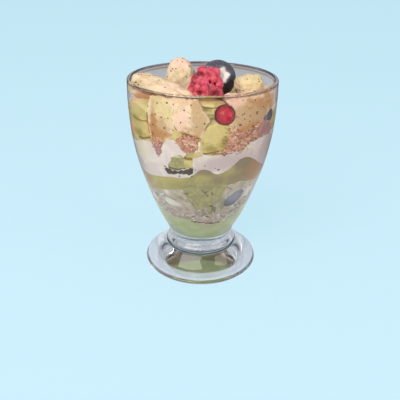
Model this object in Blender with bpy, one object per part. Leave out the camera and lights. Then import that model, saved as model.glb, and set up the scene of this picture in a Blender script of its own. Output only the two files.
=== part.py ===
"""A trifle in a footed dessert glass: custard, crumbs, cream and biscuits in layers, with berries on top.

Metres, +Z up. The origin is the centre of the glass's foot on the table, and -Y is the side that
faces a guest. A piece's place is its azimuth (degrees from -Y towards +X), its distance from the
axis and its height, both in millimetres.
"""

import bisect
import math
import random

import bmesh
import bpy
from mathutils import Euler, Matrix, Vector, noise

MM = 0.001
TURN = 2 * math.pi

# Driving dimensions of the glass.
RIM_HEIGHT = 114.0 * MM
RIM_OUTER_RADIUS = 41.4 * MM
RIM_WALL = 2.1 * MM
FOOT_RADIUS = 35.0 * MM
FOOT_EDGE = 2.6 * MM

# Pieces that touch keep this gap, and what lies against the glass keeps it to the glass.
GAP = 0.35 * MM
SIDES = 36  # facets round the glass and round every layer

# (height, radius) up the bowl's outer and inner faces. The wall thickens towards the stem, as pressed glass does.
BOWL_OUTSIDE = [(18.6, 18.5), (21.0, 19.2), (26.0, 21.7), (34.0, 25.6), (44.0, 29.7), (56.0, 33.7), (70.0, 37.6),
                (86.0, 40.4), (102.0, 41.6)]
BOWL_INSIDE = [(21.0, 0.0), (21.9, 6.0), (24.4, 11.0), (29.0, 15.2), (35.5, 19.2), (44.0, 23.4), (56.0, 28.4),
               (70.0, 33.4), (86.0, 37.5), (102.0, 39.4), (111.9, 39.3)]

# (radius, height) of the foot: a hollow underside that stands on its ring, then the domed top and the collar.
FOOT_UNDERSIDE = [(0.0, 2.4), (16.0, 1.9), (27.0, 0.8), (31.6, 0.0)]
FOOT_TOP = [(29.4, 3.7), (26.2, 7.0), (23.4, 11.4), (20.8, 13.4), (21.3, 14.8), (19.9, 16.8)]

# Where each layer ends at the wall, then at the axis, and its hills there as (azimuth, width, rise).
LAYER_TOPS = {
    "base_custard": (38.4, 37.0, [(8, 26, -2.8), (-150, 40, 1.5)]),
    "lower_crumbs": (47.6, 49.0, [(12, 14, 2.4), (-45, 20, -1.6), (160, 35, -1.5)]),
    "lower_cream": (60.4, 61.0, [(32, 28, 4.0), (-62, 18, -2.0), (175, 40, 2.5), (-120, 25, 1.5)]),
    "green_custard": (69.8, 71.0, [(37, 11, 8.4), (6, 26, 3.2), (-66, 20, -1.4), (128, 24, 3.0), (-140, 16, 5.5)]),
    "white_cream": (88.0, 87.0, [(-24, 7, 5.0), (9, 20, -4.2), (62, 18, 5.0), (-115, 22, -3.0), (165, 18, 4.0)]),
    "top_custard": (97.0, 104.0, [(-56, 17, 2.0), (-100, 15, 3.0)]),
}

# Rounded folds fused on the top custard: azimuth, distance, height, (width, depth, tall), tilt.
FOLDS = [
    (9, 32.8, 88.6, (16, 15, 9.0), 4),
    (12, 31.8, 97.0, (18, 17, 12.0), -3),
    (7, 31.5, 105.6, (17, 15, 6.5), 6),
    (6, 31.0, 110.2, (17, 13, 4.6), 5),
    (-56, 32.8, 94.5, (24, 15, 13.5), -4),
    (-62, 31.8, 104.0, (22, 15, 9.5), 6),
    (-98, 29.5, 99.0, (22, 17, 12.0), 0),
    (84, 29.5, 99.0, (24, 17, 12.0), -5),
    (-140, 28.0, 99.0, (20, 16, 9.0), 4),
    (132, 28.0, 99.0, (20, 16, 9.5), 0),
]

# Biscuit chunks: azimuth, distance, height, (width, depth, tall), (tip, roll, yaw), cuts along an edge.
BISCUITS = {
    "biscuit_front_left": (-33, 32.5, 101.5, (15.5, 14, 23.0), (0, 5, 0), 2),
    "biscuit_front": (-9.5, 33.0, 103.2, (18.5, 14, 20.5), (0, -6, 0), 2),
    "biscuit_front_right": (41, 32.8, 104.4, (28, 13, 16.0), (0, -17, 0), 2),
    "biscuit_standing": (-103, 13.0, 111.8, (14.0, 13.0, 23), (-4, 3, 99), 2),
    "biscuit_long": (-49, 27.4, 111.6, (34, 12.5, 10.5), (0, 8, 18), 2),
    "biscuit_right": (68, 26.6, 110.8, (13.0, 13.0, 13.5), (6, -8, -60), 2),
    "biscuit_far_right": (83, 33.6, 105.0, (14.0, 11.0, 12.0), (0, 6, 0), 1),
    "biscuit_back_right": (112, 32.5, 94.6, (18, 13, 14), (0, 9, 0), 1),
    "biscuit_back": (176, 32.8, 94.2, (20, 13, 12.5), (0, -7, 0), 1),
    "biscuit_back_left": (-116, 32.8, 94.6, (17, 13, 15), (0, 10, 0), 1),
}

# Sponge and scraps pressed against the wall inside the layers, in the same terms as the biscuits.
SCRAPS = {
    "sponge_front": (-1, 25.0, 56.4, (12, 8, 10), (0, 12, 0), 1),
    "sponge_front_right": (12, 23.0, 49.6, (7, 7, 7), (0, -15, 0), 1),
    "sponge_left": (-92, 24.5, 55.6, (11, 8, 9), (0, 9, 0), 1),
    "sponge_back": (168, 24.5, 55.8, (12, 8, 9), (0, -9, 0), 1),
    "sponge_wedge": (-18.5, 32.2, 79.0, (8.5, 8, 8), (0, 14, 0), 1),
    "sponge_wedge_back": (150, 32.2, 79.6, (10, 8, 8), (0, -12, 0), 1),
    "dark_crust": (-17.5, 31.0, 73.3, (13, 8, 2.2), (0, -4, 0), 1),
    "yellow_scrap": (-8.2, 33.8, 80.9, (4.2, 6.5, 7.5), (0, 24, 0), 1),
}

# Loose crumb heaps: lumps of (azimuth, distance, height, width, depth, tall), and how many flakes stick out.
CRUMB_HEAPS = {
    "crumbs_left": ([(-11, 34.0, 89.6, 14, 10, 8.5)], 5),
    "crumbs_tip": ([(-37.5, 35.6, 86.0, 5.5, 6, 9)], 2),
    "crumbs_right": ([(27, 33.8, 90.2, 17, 11, 9), (49, 34.0, 95.0, 19, 11, 8)], 8),
    "crumbs_back": ([(-150, 34.0, 92.2, 20, 11, 8.5)], 4),
}

# Blueberries: azimuth, distance, height, radius, and the way the crown points (azimuth, elevation).
BLUEBERRIES = {
    "blueberry_top": (90, 9.4, 114.4, 9.7, (52, 5)),
    "blueberry_side": (61, 33.6, 100.6, 6.2, (150, 20)),
    "blueberry_back": (146, 33.0, 95.4, 6.8, (-170, 50)),
    "blueberry_low": (36, 21.0, 54.0, 8.2, (-90, 30)),
    "blueberry_low_back": (-142, 20.4, 54.2, 7.6, (60, 30)),
}
CURRANT = (18.8, 33.4, 103.8, 5.4)
RASPBERRY_PLACE = (3.0, 19.0, 107.6)
RASPBERRY_HEIGHT = 17.4 * MM
RASPBERRY_RADIUS = 9.0 * MM
RASPBERRY_LEAN = (-4.0, 9.0)
DRUPELET_ROWS = 6
DRUPELET_SPACING = 3.7 * MM
DRUPELET_RISE = 1.0 * MM

FLAKE_LENGTH = 4.0 * MM
FLAT_WITHIN = 5.0


def clear_scene():
    for obj in list(bpy.data.objects):
        bpy.data.objects.remove(obj)


def radius_along(points):
    """Radius over height along a wall whose facets run straight from one point to the next."""
    heights = [h * MM for h, _ in points]
    radii = [r * MM for _, r in points]

    def radius_at(height):
        height = min(max(height, heights[0]), heights[-1])
        i = min(bisect.bisect_right(heights, height), len(heights) - 1) - 1
        share = (height - heights[i]) / (heights[i + 1] - heights[i])
        return radii[i] + (radii[i + 1] - radii[i]) * share

    return radius_at


inner_radius = radius_along(BOWL_INSIDE)


def material(name, colour, roughness=0.6, alpha=1.0, transmission=0.0):
    made = bpy.data.materials.new(name)
    made.use_nodes = True
    shader = made.node_tree.nodes["Principled BSDF"]
    shader.inputs["Base Color"].default_value = (*colour, 1.0)
    shader.inputs["Roughness"].default_value = roughness
    shader.inputs["Alpha"].default_value = alpha
    shader.inputs["Transmission Weight"].default_value = transmission
    return made


def object_of(bm, name, finish=None):
    """Closes a bmesh into a new object. Every quad is split the same way, so that neighbours' faces match."""
    bmesh.ops.remove_doubles(bm, verts=bm.verts, dist=1e-6)
    bmesh.ops.triangulate(bm, faces=bm.faces, quad_method="FIXED")
    bmesh.ops.recalc_face_normals(bm, faces=bm.faces)
    mesh = bpy.data.meshes.new(name)
    bm.to_mesh(mesh)
    bm.free()
    obj = bpy.data.objects.new(name, mesh)
    bpy.context.scene.collection.objects.link(obj)
    wear(obj, finish)
    return obj


def wear(obj, finish):
    """Gives an object its one material and its smooth shading."""
    obj.data.materials.clear()
    obj.data.materials.append(finish)
    obj.data.shade_smooth()
    obj.data.set_sharp_from_angle(angle=math.radians(40))


def polar(azimuth, distance, height):
    """A point from degrees of azimuth and metres."""
    a = math.radians(azimuth)
    return Vector((distance * math.sin(a), -distance * math.cos(a), height))


def arc(centre, radius, start, end, steps):
    """Points (radius, height) round a centre, between two angles in degrees."""
    angles = [math.radians(start + (end - start) * i / steps) for i in range(steps + 1)]
    return [(centre[0] + radius * math.cos(a), centre[1] + radius * math.sin(a)) for a in angles]


def turned(profile, sides=SIDES, shape=None):
    """A closed bmesh turned about Z from (radius, height) points, of which the first and last lie on the axis."""
    bm = bmesh.new()
    rings = []
    for radius, height in profile[1:-1]:
        ring = []
        for i in range(sides):
            angle = TURN * i / sides
            place = Vector((radius * math.cos(angle), radius * math.sin(angle), height))
            ring.append(bm.verts.new(shape(place, angle) if shape else place))
        rings.append(ring)
    for one, two in zip(rings, rings[1:]):
        for i in range(sides):
            j = (i + 1) % sides
            bm.faces.new((one[i], one[j], two[j], two[i]))
    for ring, (_, height) in ((rings[0], profile[0]), (rings[-1], profile[-1])):
        tip = bm.verts.new((0, 0, height))
        for i in range(sides):
            bm.faces.new((ring[i], ring[(i + 1) % sides], tip))
    return bm


def boolean(obj, operation, others):
    """Applies a Boolean of obj with each of the others in turn, and removes the others."""
    for other in others:
        step = obj.modifiers.new("fit", "BOOLEAN")
        step.operation = operation
        step.object = other
        step.solver = "MANIFOLD"  # the exact solver leaves the folded custard open
    graph = bpy.context.evaluated_depsgraph_get()
    mesh = bpy.data.meshes.new_from_object(obj.evaluated_get(graph))
    finish = obj.data.materials[0]
    obj.modifiers.clear()
    obj.data = mesh
    wear(obj, finish)
    for other in others:
        bpy.data.objects.remove(other)


# ---------------------------------------------------------------- the glass


def build_glass(finish):
    """Turns the whole section: foot, collar, bowl, rounded rim, then down the inner wall to its floor."""
    def in_metres(points):
        return [(r * MM, h * MM) for r, h in points]

    foot_edge = arc((FOOT_RADIUS - FOOT_EDGE / 2, FOOT_EDGE / 2), FOOT_EDGE / 2, -90, 90, 4)
    outside = in_metres((r, h) for h, r in BOWL_OUTSIDE)
    rim = arc((RIM_OUTER_RADIUS - RIM_WALL / 2, RIM_HEIGHT - RIM_WALL / 2), RIM_WALL / 2, 0, 180, 3)
    inside = in_metres((r, h) for h, r in reversed(BOWL_INSIDE))
    section = in_metres(FOOT_UNDERSIDE) + foot_edge + in_metres(FOOT_TOP) + outside + rim + inside
    return object_of(turned(section), "glass", finish)


def bowl_space(finish):
    """The room inside the bowl and above its rim, a gap clear of the glass."""
    section = [(0.0, BOWL_INSIDE[0][0] * MM + GAP)]
    section += [(r * MM - GAP, h * MM + 0.4 * GAP) for h, r in BOWL_INSIDE[1:]]
    top = 1.3 * RIM_HEIGHT
    section += [(section[-1][0], top), (0.0, top)]
    return object_of(turned(section), "bowl_space", finish)


def keep_inside(obj):
    """Presses a piece that reaches the glass flat against it."""
    limit = [math.hypot(v.co.x, v.co.y) - inner_radius(v.co.z) + GAP * 1.5 for v in obj.data.vertices]
    if max(limit) > 0:
        boolean(obj, "INTERSECT", [bowl_space(obj.data.materials[0])])


# ---------------------------------------------------------------- the layers


def turn_between(a, b):
    """The smaller angle between two azimuths, in degrees."""
    return (a - b + 180) % 360 - 180


def layer_top(name, azimuth, share):
    """Height of a layer's upper face, at an azimuth and a share of the way from the axis to the wall."""
    at_wall, at_axis, hills = LAYER_TOPS[name]
    rise = sum(h * math.exp(-((turn_between(azimuth, a) / w) ** 2)) for a, w, h in hills)
    return (at_axis + (at_wall + rise - at_axis) * share**1.5) * MM


def build_layer(name, below, finish, shares=(0.55, 1.0), wall_steps=(0.5,)):
    """A layer from the face of the one below, or the bowl's floor, up to its own face, out to the wall."""
    bm = bmesh.new()
    azimuths = [360 * i / SIDES for i in range(SIDES)]

    def face_ring(face, lift, share):
        ring = []
        for azimuth in azimuths:
            edge = layer_top(face, azimuth, 1.0) + lift
            reach = (inner_radius(edge) - GAP) * share
            ring.append(bm.verts.new(polar(azimuth, reach, layer_top(face, azimuth, share) + lift)))
        return ring

    def bridge(one, two):
        for i in range(SIDES):
            j = (i + 1) % SIDES
            bm.faces.new((one[i], one[j], two[j], two[i]))

    def close(ring, height):
        tip = bm.verts.new((0, 0, height))
        for i in range(SIDES):
            bm.faces.new((ring[i], ring[(i + 1) % SIDES], tip))

    top = [face_ring(name, 0.0, share) for share in shares]
    close(top[0], layer_top(name, 0, 0.0))
    if below:
        bottom = [face_ring(below, GAP, share) for share in shares]
        close(bottom[0], layer_top(below, 0, 0.0) + GAP)
        lows = [layer_top(below, azimuth, 1.0) + GAP for azimuth in azimuths]
    else:
        floor = [(r * MM - 0.6 * GAP, h * MM + GAP) for h, r in BOWL_INSIDE[1:4]]
        bottom = [[bm.verts.new(polar(azimuth, r, h)) for azimuth in azimuths] for r, h in floor]
        close(bottom[0], BOWL_INSIDE[0][0] * MM + GAP)
        lows = [floor[-1][1]] * SIDES
    wall = [bottom[-1]]
    for step in wall_steps:
        heights = [low + (layer_top(name, a, 1.0) - low) * step for low, a in zip(lows, azimuths)]
        wall.append([bm.verts.new(polar(a, inner_radius(h) - GAP, h)) for a, h in zip(azimuths, heights)])
    wall.append(top[-1])
    for rings in (top, bottom, wall):
        for one, two in zip(rings, rings[1:]):
            bridge(one, two)
    return object_of(bm, name, finish)


def fold(finish, azimuth, distance, height, size, tilt, grow=0.0):
    """One rounded fold of custard, flatter than a ball."""
    width, depth, tall = (side * MM / 2 + grow for side in size)
    ball = [(math.sin(a), -math.cos(a)) for a in (math.pi * i / 5 for i in range(6))]
    bm = turned(ball, 10)
    bmesh.ops.scale(bm, vec=(width, depth, tall), verts=bm.verts)
    set_down(bm, azimuth, distance, height, (0, tilt, 0))
    return object_of(bm, "fold", finish)


# ---------------------------------------------------------------- chunks, scraps and crumbs


def set_down(bm, azimuth, distance, height, turns=(0, 0, 0)):
    """Turns a piece about its own axes, faces it outwards at its azimuth and moves it into place."""
    tip, roll, yaw = (math.radians(turn) for turn in turns)
    facing = Euler((tip, roll, yaw + math.radians(azimuth))).to_matrix().to_4x4()
    place = Matrix.Translation(polar(azimuth, distance * MM, height * MM)) @ facing
    bmesh.ops.transform(bm, matrix=place, verts=bm.verts)


def lump(size, seed, cuts, roundness=0.45, rough=0.09):
    """A block with worn corners and uneven faces, centred on the origin."""
    bm = bmesh.new()
    bmesh.ops.create_cube(bm, size=2.0)
    bmesh.ops.subdivide_edges(bm, edges=bm.edges, cuts=cuts, use_grid_fill=True)
    shift = Vector((seed * 3.7, seed * 1.9, seed * 5.3))
    for vert in bm.verts:
        ball = vert.co.normalized() * 1.25
        place = vert.co.lerp(ball, roundness)
        place *= 1 + 2 * rough * noise.noise(vert.co * 1.3 + shift)
        vert.co = Vector([share * side / 2 for share, side in zip(place, size)])
    return bm


def chunk(name, finish, spec, seed, grow=0.0, roundness=0.45, rough=0.09):
    """One biscuit, sponge or crumb lump, made larger all round by grow."""
    azimuth, distance, height, size, turns, cuts = spec
    bm = lump([side * MM + 2 * grow for side in size], seed, cuts, roundness, rough)
    set_down(bm, azimuth, distance, height, turns)
    return object_of(bm, name, finish)


def flakes(name, finish, lumps, count, seed, grow=0.0):
    """Small blocks at odd angles, half sunk in the outer face of the lumps."""
    draw = random.Random(seed)
    made = []
    for number in range(count):
        azimuth, distance, height, width, depth, tall = lumps[number % len(lumps)]
        size = [FLAKE_LENGTH * draw.uniform(0.5, 1.0) + 2 * grow for _ in range(3)]
        turns = [draw.uniform(0, 90) for _ in range(3)]
        side = math.degrees(draw.uniform(-0.46, 0.46) * width / distance)
        up = draw.choice((-1, 1)) * draw.uniform(0.2, 0.46) * tall
        out = draw.uniform(0.15, 0.40) * depth
        bm = bmesh.new()
        bmesh.ops.create_cube(bm, size=1.0, matrix=Matrix.Diagonal((*size, 1.0)))
        set_down(bm, azimuth + side, distance + out, height + up, turns)
        made.append(object_of(bm, name, finish))
    return made


def crumb_bodies(name, finish, heap, seed, grow=0.0):
    lumps, count = heap
    bodies = []
    for number, (azimuth, distance, height, *size) in enumerate(lumps):
        spec = (azimuth, distance, height, size, (0, 0, 0), 2)
        bodies.append(chunk(name, finish, spec, seed + number, grow, roundness=0.7, rough=0.2))
    return bodies + flakes(name, finish, lumps, count, seed, grow)


# ---------------------------------------------------------------- fruit


def ball_room(spec, ahead=0.0):
    """The room of a round fruit: a coarse ball that holds it and its gap, its front half drawn out ahead."""
    azimuth, distance, height, radius = spec[:4]
    radius = 1.13 * radius * MM + GAP
    ball = [(radius * math.sin(a), -radius * math.cos(a)) for a in (math.pi * i / 6 for i in range(7))]
    bm = turned(ball, 11, lambda place, _: place - Vector((0, ahead * MM if place.y < 0 else 0, 0)))
    set_down(bm, azimuth, distance, height)
    return object_of(bm, "room")


def blueberry(name, finish, spec, sides=10):
    """A slightly flattened ball whose crown is a ring of five low lobes round a shallow pit."""
    azimuth, distance, height, radius, (crown_azimuth, crown_elevation) = spec
    radius *= MM
    ball = [(radius * math.sin(a), -0.92 * radius * math.cos(a)) for a in (math.pi * i / 8 for i in range(7))]
    crown = [(0.42 * radius, 0.93 * radius), (0.30 * radius, 0.90 * radius), (0.0, 0.76 * radius)]

    def lobes(place, angle):
        if place.z > 0.85 * radius:
            place.z += 0.04 * radius * math.cos(5 * angle)
        return place

    bm = turned(ball + crown, sides, lobes)
    aim = polar(crown_azimuth, math.cos(math.radians(crown_elevation)), math.sin(math.radians(crown_elevation)))
    facing = aim.to_track_quat("Z", "Y").to_matrix().to_4x4()
    place = Matrix.Translation(polar(azimuth, distance * MM, height * MM)) @ facing
    bmesh.ops.transform(bm, matrix=place, verts=bm.verts)
    return object_of(bm, name, finish)


def currant(name, finish):
    """A round currant with the dry tip of its flower at the lower side."""
    azimuth, distance, height, radius = CURRANT
    radius *= MM
    section = [(0.0, -1.07 * radius), (0.13 * radius, -1.06 * radius), (0.16 * radius, -0.97 * radius)]
    section += [(radius * math.sin(a), -radius * math.cos(a)) for a in (math.pi * i / 8 for i in range(1, 8))]
    section.append((0.0, radius))
    bm = turned(section, 14)
    set_down(bm, azimuth, distance, height, (-55, 0, 30))
    return object_of(bm, name, finish)


def raspberry_outline(share):
    """Radius at a share of the raspberry's height, without its drupelets: full low down, narrow at the tip."""
    return RASPBERRY_RADIUS * math.sin(math.pi * (0.10 + 0.90 * share) ** 0.72) ** 0.62 * (1.04 - 0.30 * share)


def drupelets():
    """The middle of each drupelet, in staggered rows that thin out towards the tip."""
    found = []
    for row in range(DRUPELET_ROWS):
        share = (row + 0.5) / DRUPELET_ROWS
        radius = raspberry_outline(share)
        count = max(5, round(TURN * radius / DRUPELET_SPACING))
        for i in range(count):
            angle = TURN * (i + 0.5 * (row % 2)) / count
            found.append(Vector((radius * math.cos(angle), radius * math.sin(angle), share * RASPBERRY_HEIGHT)))
    return found


def raspberry(name, finish, rows=11, sides=30, grow=0.0):
    beads = drupelets()
    bead_reach = 0.55 * DRUPELET_SPACING

    def bumps(place, _):
        nearest = min(Vector((d.x, d.y, 1.2 * d.z)).length for d in (place - bead for bead in beads))
        out = Vector((place.x, place.y, 0)).normalized()
        return place + out * DRUPELET_RISE * (1 - min(nearest / bead_reach, 1.2) ** 2)

    def swell(place, _):
        return place + Vector((place.x, place.y, 0)).normalized() * (DRUPELET_RISE + grow)

    section = [(raspberry_outline(i / rows), RASPBERRY_HEIGHT * i / rows - grow) for i in range(rows)]
    section = [(0.0, -grow), *section, (0.0, RASPBERRY_HEIGHT + grow)]
    bm = turned(section, sides, swell if grow else bumps)
    tip, roll = RASPBERRY_LEAN
    set_down(bm, *RASPBERRY_PLACE, (tip, roll, 0))
    return object_of(bm, name, finish)


# ---------------------------------------------------------------- fitting the pieces round each other


def box_of(obj):
    points = [vert.co for vert in obj.data.vertices]
    return [min(p[i] for p in points) for i in range(3)], [max(p[i] for p in points) for i in range(3)]


def near(one, two):
    (low_a, high_a), (low_b, high_b) = box_of(one), box_of(two)
    return all(low_a[i] < high_b[i] + GAP and low_b[i] < high_a[i] + GAP for i in range(3))


def copy_of(obj):
    made = bpy.data.objects.new("room", obj.data.copy())
    bpy.context.scene.collection.objects.link(made)
    return made


def keep_largest(obj):
    """Drops the loose scraps that a cut leaves."""
    bm = bmesh.new()
    bm.from_mesh(obj.data)
    left = set(bm.faces)
    bodies = []
    while left:
        body = set()
        ahead = [left.pop()]
        while ahead:
            face = ahead.pop()
            body.add(face)
            beside = {other for edge in face.edges for other in edge.link_faces} & left
            left -= beside
            ahead += beside
        bodies.append(body)
    largest = max(bodies, key=lambda faces: sum(face.calc_area() for face in faces))
    scraps = [face for body in bodies if body is not largest for face in body]
    bmesh.ops.delete(bm, geom=scraps, context="FACES")
    bm.to_mesh(obj.data)
    bm.free()


def simplify(obj):
    """Merges the nearly flat facets that the cuts leave on a layer."""
    bm = bmesh.new()
    bm.from_mesh(obj.data)
    bmesh.ops.dissolve_limit(bm, angle_limit=math.radians(FLAT_WITHIN), verts=bm.verts, edges=bm.edges)
    bmesh.ops.triangulate(bm, faces=bm.faces)
    bm.to_mesh(obj.data)
    bm.free()


def make_room(obj, rooms):
    """Cuts from obj the room that its neighbours take up, gap included."""
    close = [room for room in rooms if near(obj, room)]
    if close:
        boolean(obj, "DIFFERENCE", [copy_of(room) for room in close])
        keep_largest(obj)


def main():
    clear_scene()
    clear = material("clear_glass", (0.92, 0.96, 0.98), roughness=0.02, alpha=0.35, transmission=1.0)
    pale_green = material("pale_green_custard", (0.52, 0.56, 0.30), roughness=0.45)
    olive = material("olive_custard", (0.45, 0.43, 0.15), roughness=0.4)
    yellow = material("yellow_custard", (0.60, 0.50, 0.21), roughness=0.4)
    white = material("whipped_cream", (0.82, 0.76, 0.72), roughness=0.5)
    beige = material("lower_cream", (0.62, 0.55, 0.42), roughness=0.5)
    toasted = material("toasted_crumbs", (0.62, 0.36, 0.24), roughness=0.85)
    soaked = material("soaked_crumbs", (0.48, 0.38, 0.30), roughness=0.7)
    biscuit = material("seeded_biscuit", (0.84, 0.68, 0.43), roughness=0.8)
    sponge = material("green_sponge", (0.40, 0.39, 0.17), roughness=0.7)
    crust = material("dark_crust", (0.12, 0.08, 0.05), roughness=0.7)
    blue = material("blueberry_skin", (0.10, 0.10, 0.17), roughness=0.5)
    red = material("raspberry_flesh", (0.66, 0.05, 0.10), roughness=0.35)
    bright_red = material("currant_skin", (0.60, 0.02, 0.04), roughness=0.12)

    build_glass(clear)
    layers = []
    finishes = (pale_green, soaked, beige, olive, white, yellow)
    for name, below, finish in zip(LAYER_TOPS, (None, *LAYER_TOPS), finishes):
        layers.append(build_layer(name, below, finish))
    top_custard = layers[-1]
    boolean(top_custard, "UNION", [fold(yellow, *spec) for spec in FOLDS])
    keep_inside(top_custard)
    fold_rooms = [fold(yellow, *spec, grow=GAP) for spec in FOLDS]
    make_room(layers[-2], fold_rooms)

    # Fruit keeps its form. Each later piece gives way to the ones before it, and the layers to them all.
    rooms = []
    for name, spec in BLUEBERRIES.items():
        keep_inside(blueberry(name, blue, spec, 16 if name == "blueberry_top" else 10))
        rooms.append(ball_room(spec))
    keep_inside(currant("currant", bright_red))
    rooms.append(ball_room(CURRANT, ahead=5.0))
    raspberry("raspberry", red)
    rooms.append(raspberry("room", red, rows=6, sides=14, grow=GAP * 1.6))

    finish_of = {"dark_crust": crust, "yellow_scrap": biscuit}
    pieces = [(name, spec, finish_of.get(name, sponge)) for name, spec in SCRAPS.items()]
    pieces += [(name, spec, biscuit) for name, spec in BISCUITS.items()]
    for seed, (name, spec, finish) in enumerate(pieces):
        piece = chunk(name, finish, spec, seed)
        keep_inside(piece)
        make_room(piece, rooms)
        rooms.append(chunk("room", finish, spec, seed, GAP * 1.2))
    for seed, (name, heap) in enumerate(CRUMB_HEAPS.items(), start=51):
        body, *others = crumb_bodies(name, toasted, heap, seed)
        boolean(body, "UNION", others)
        body.name = name
        keep_inside(body)
        make_room(body, rooms)
        rooms += crumb_bodies("room", toasted, heap, seed, GAP * 1.2)
    for layer in layers:
        make_room(layer, rooms)
        simplify(layer)
    for room in rooms + fold_rooms:
        bpy.data.objects.remove(room)


main()
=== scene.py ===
# %% [markdown]
# # A trifle in a footed glass
#
# A trifle is a cold dessert built up in layers in a clear glass, so that its side is the show.
# This one has pale green custard at the bottom, then soaked crumbs, a beige cream with sponge in it,
# an olive custard, whipped cream, and yellow custard folded round seeded biscuits, with berries on top.
#
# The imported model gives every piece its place. This script makes the looks: a finely turned glass,
# food with real relief, loose crumbs and seeds, and a material for each finish.

import math
import random

import bpy
import numpy as np
from mathutils import Matrix, Vector


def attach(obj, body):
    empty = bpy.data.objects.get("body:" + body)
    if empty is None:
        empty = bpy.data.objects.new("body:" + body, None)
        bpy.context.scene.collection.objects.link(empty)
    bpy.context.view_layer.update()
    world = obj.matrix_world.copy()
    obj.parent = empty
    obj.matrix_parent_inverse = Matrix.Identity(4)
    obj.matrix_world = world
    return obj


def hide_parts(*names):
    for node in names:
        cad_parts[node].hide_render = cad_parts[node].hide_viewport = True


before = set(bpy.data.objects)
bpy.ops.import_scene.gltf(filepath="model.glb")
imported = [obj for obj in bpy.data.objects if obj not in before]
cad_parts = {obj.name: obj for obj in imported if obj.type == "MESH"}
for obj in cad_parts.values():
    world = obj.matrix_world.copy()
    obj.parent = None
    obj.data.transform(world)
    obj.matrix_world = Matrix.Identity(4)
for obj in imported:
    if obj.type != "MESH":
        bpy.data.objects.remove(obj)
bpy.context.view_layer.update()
MM = 0.001
print("packed nodes:", len(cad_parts))

# %% [markdown]
# ## Places round the glass
#
# Everything here lies round an upright axis, so a place is easiest to give the way a cook would point
# at it: how far round from the front (its azimuth, in degrees), how far out from the middle, and how high.

# %% Places and small steps used all through
def around(azimuth, distance, height):
    """A point from degrees round from the front, and millimetres out and up."""
    turn = math.radians(azimuth)
    return Vector((distance * math.sin(turn), -distance * math.cos(turn), height)) * MM


def azimuths_of(points):
    """Degrees round from the front, for each point."""
    return np.degrees(np.arctan2(points[:, 0], -points[:, 1]))


def clear_selection():
    if bpy.context.mode != "OBJECT":
        bpy.ops.object.mode_set(mode="OBJECT")
    bpy.ops.object.select_all(action="DESELECT")


def pick(obj):
    clear_selection()
    obj.select_set(True)
    bpy.context.view_layer.objects.active = obj
    return obj


def modify(obj, kind, **settings):
    """Adds a modifier, sets it and applies it."""
    step = obj.modifiers.new(kind.title(), kind)
    for setting, value in settings.items():
        setattr(step, setting, value)
    pick(obj)
    bpy.ops.object.modifier_apply(modifier=step.name)


def settle(obj):
    """Moves a piece's place, turn and size into its mesh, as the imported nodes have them."""
    pick(obj)
    bpy.ops.object.transform_apply(location=True, rotation=True, scale=True)
    return obj


def points_of(obj):
    points = np.empty(len(obj.data.vertices) * 3)
    obj.data.vertices.foreach_get("co", points)
    return points.reshape(-1, 3)


def set_points(obj, points):
    obj.data.vertices.foreach_set("co", np.ascontiguousarray(points, dtype=np.float64).ravel())
    obj.data.update()


clear_selection()

# %% Hand a finished piece to the model
def serve(obj, name, finish, slot, *nodes):
    """Names a piece, dresses it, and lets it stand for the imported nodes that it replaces."""
    settle(obj)
    bpy.ops.object.shade_smooth()
    obj.name = name
    obj.data.name = name
    obj.data.materials.clear()
    obj.data.materials.append(finish)
    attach(obj, "root")
    if nodes:
        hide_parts(*nodes)
    print(f"{name}: {len(obj.data.polygons)} faces")
    return obj


# %% [markdown]
# ## The glass
#
# The glass is pressed: thick at the foot, thin at a fire-polished rim, with a crease where the foot's
# dome meets the collar. A turned form could be a Screw modifier or a spin. A spin is used, on a
# section extruded point by point, because the same section then tells the food where the wall is.

# %% The section of the glass, in millimetres (radius, height)
UNDERSIDE = [(0.0, 2.4), (6.0, 2.3), (11.0, 2.0), (16.0, 1.5), (21.0, 0.8), (26.0, 0.3), (29.0, 0.1),
             (31.6, 0.0), (33.4, 0.0)]
FOOT_EDGE = (33.7, 1.3, 1.3)  # centre radius, centre height, and radius of the rounded edge
DOME = [(34.0, 2.6), (32.6, 3.1), (31.0, 3.9), (29.4, 4.8), (27.8, 6.0), (26.4, 7.5), (25.0, 9.3),
        (23.8, 11.0), (22.5, 12.4), (21.2, 13.0), (20.2, 13.2)]
COLLAR = [(19.8, 13.4), (20.2, 13.7), (21.0, 14.0), (21.35, 14.6), (21.0, 15.6), (20.2, 16.5), (19.2, 17.4),
          (18.5, 18.6)]
BOWL_OUTSIDE = [(18.5, 18.6), (19.2, 21.0), (21.7, 26.0), (25.6, 34.0), (29.7, 44.0), (33.7, 56.0),
                (37.6, 70.0), (40.4, 86.0), (41.45, 102.0), (41.45, 110.5), (41.42, 112.8), (41.4, 114.2)]
RIM = (40.35, 114.25, 1.05)
BOWL_INSIDE = [(39.3, 114.2), (39.32, 112.8), (39.34, 110.5), (39.4, 102.0), (37.5, 86.0), (33.4, 70.0),
               (28.4, 56.0), (23.4, 44.0), (19.2, 35.5), (15.2, 29.0), (11.0, 24.4), (6.0, 21.9), (0.0, 21.0)]
GLASS_SIDES = 320


def smooth_through(points, steps=5):
    """A smooth run through given points, by the Catmull-Rom formula."""
    ends = [points[0], *points, points[-1]]
    run = []
    for before, start, stop, after in zip(ends, ends[1:], ends[2:], ends[3:]):
        for step in range(steps):
            t = step / steps
            run.append([
                0.5 * (2 * b + (c - a) * t + (2 * a - 5 * b + 4 * c - d) * t**2 + (3 * b - a - 3 * c + d) * t**3)
                for a, b, c, d in zip(before, start, stop, after)
            ])
    return run + [list(points[-1])]


def round_edge(centre_radius, centre_height, radius, start, stop, steps=8):
    turns = [math.radians(start + (stop - start) * i / steps) for i in range(steps + 1)]
    return [(centre_radius + radius * math.cos(t), centre_height + radius * math.sin(t)) for t in turns]


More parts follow.
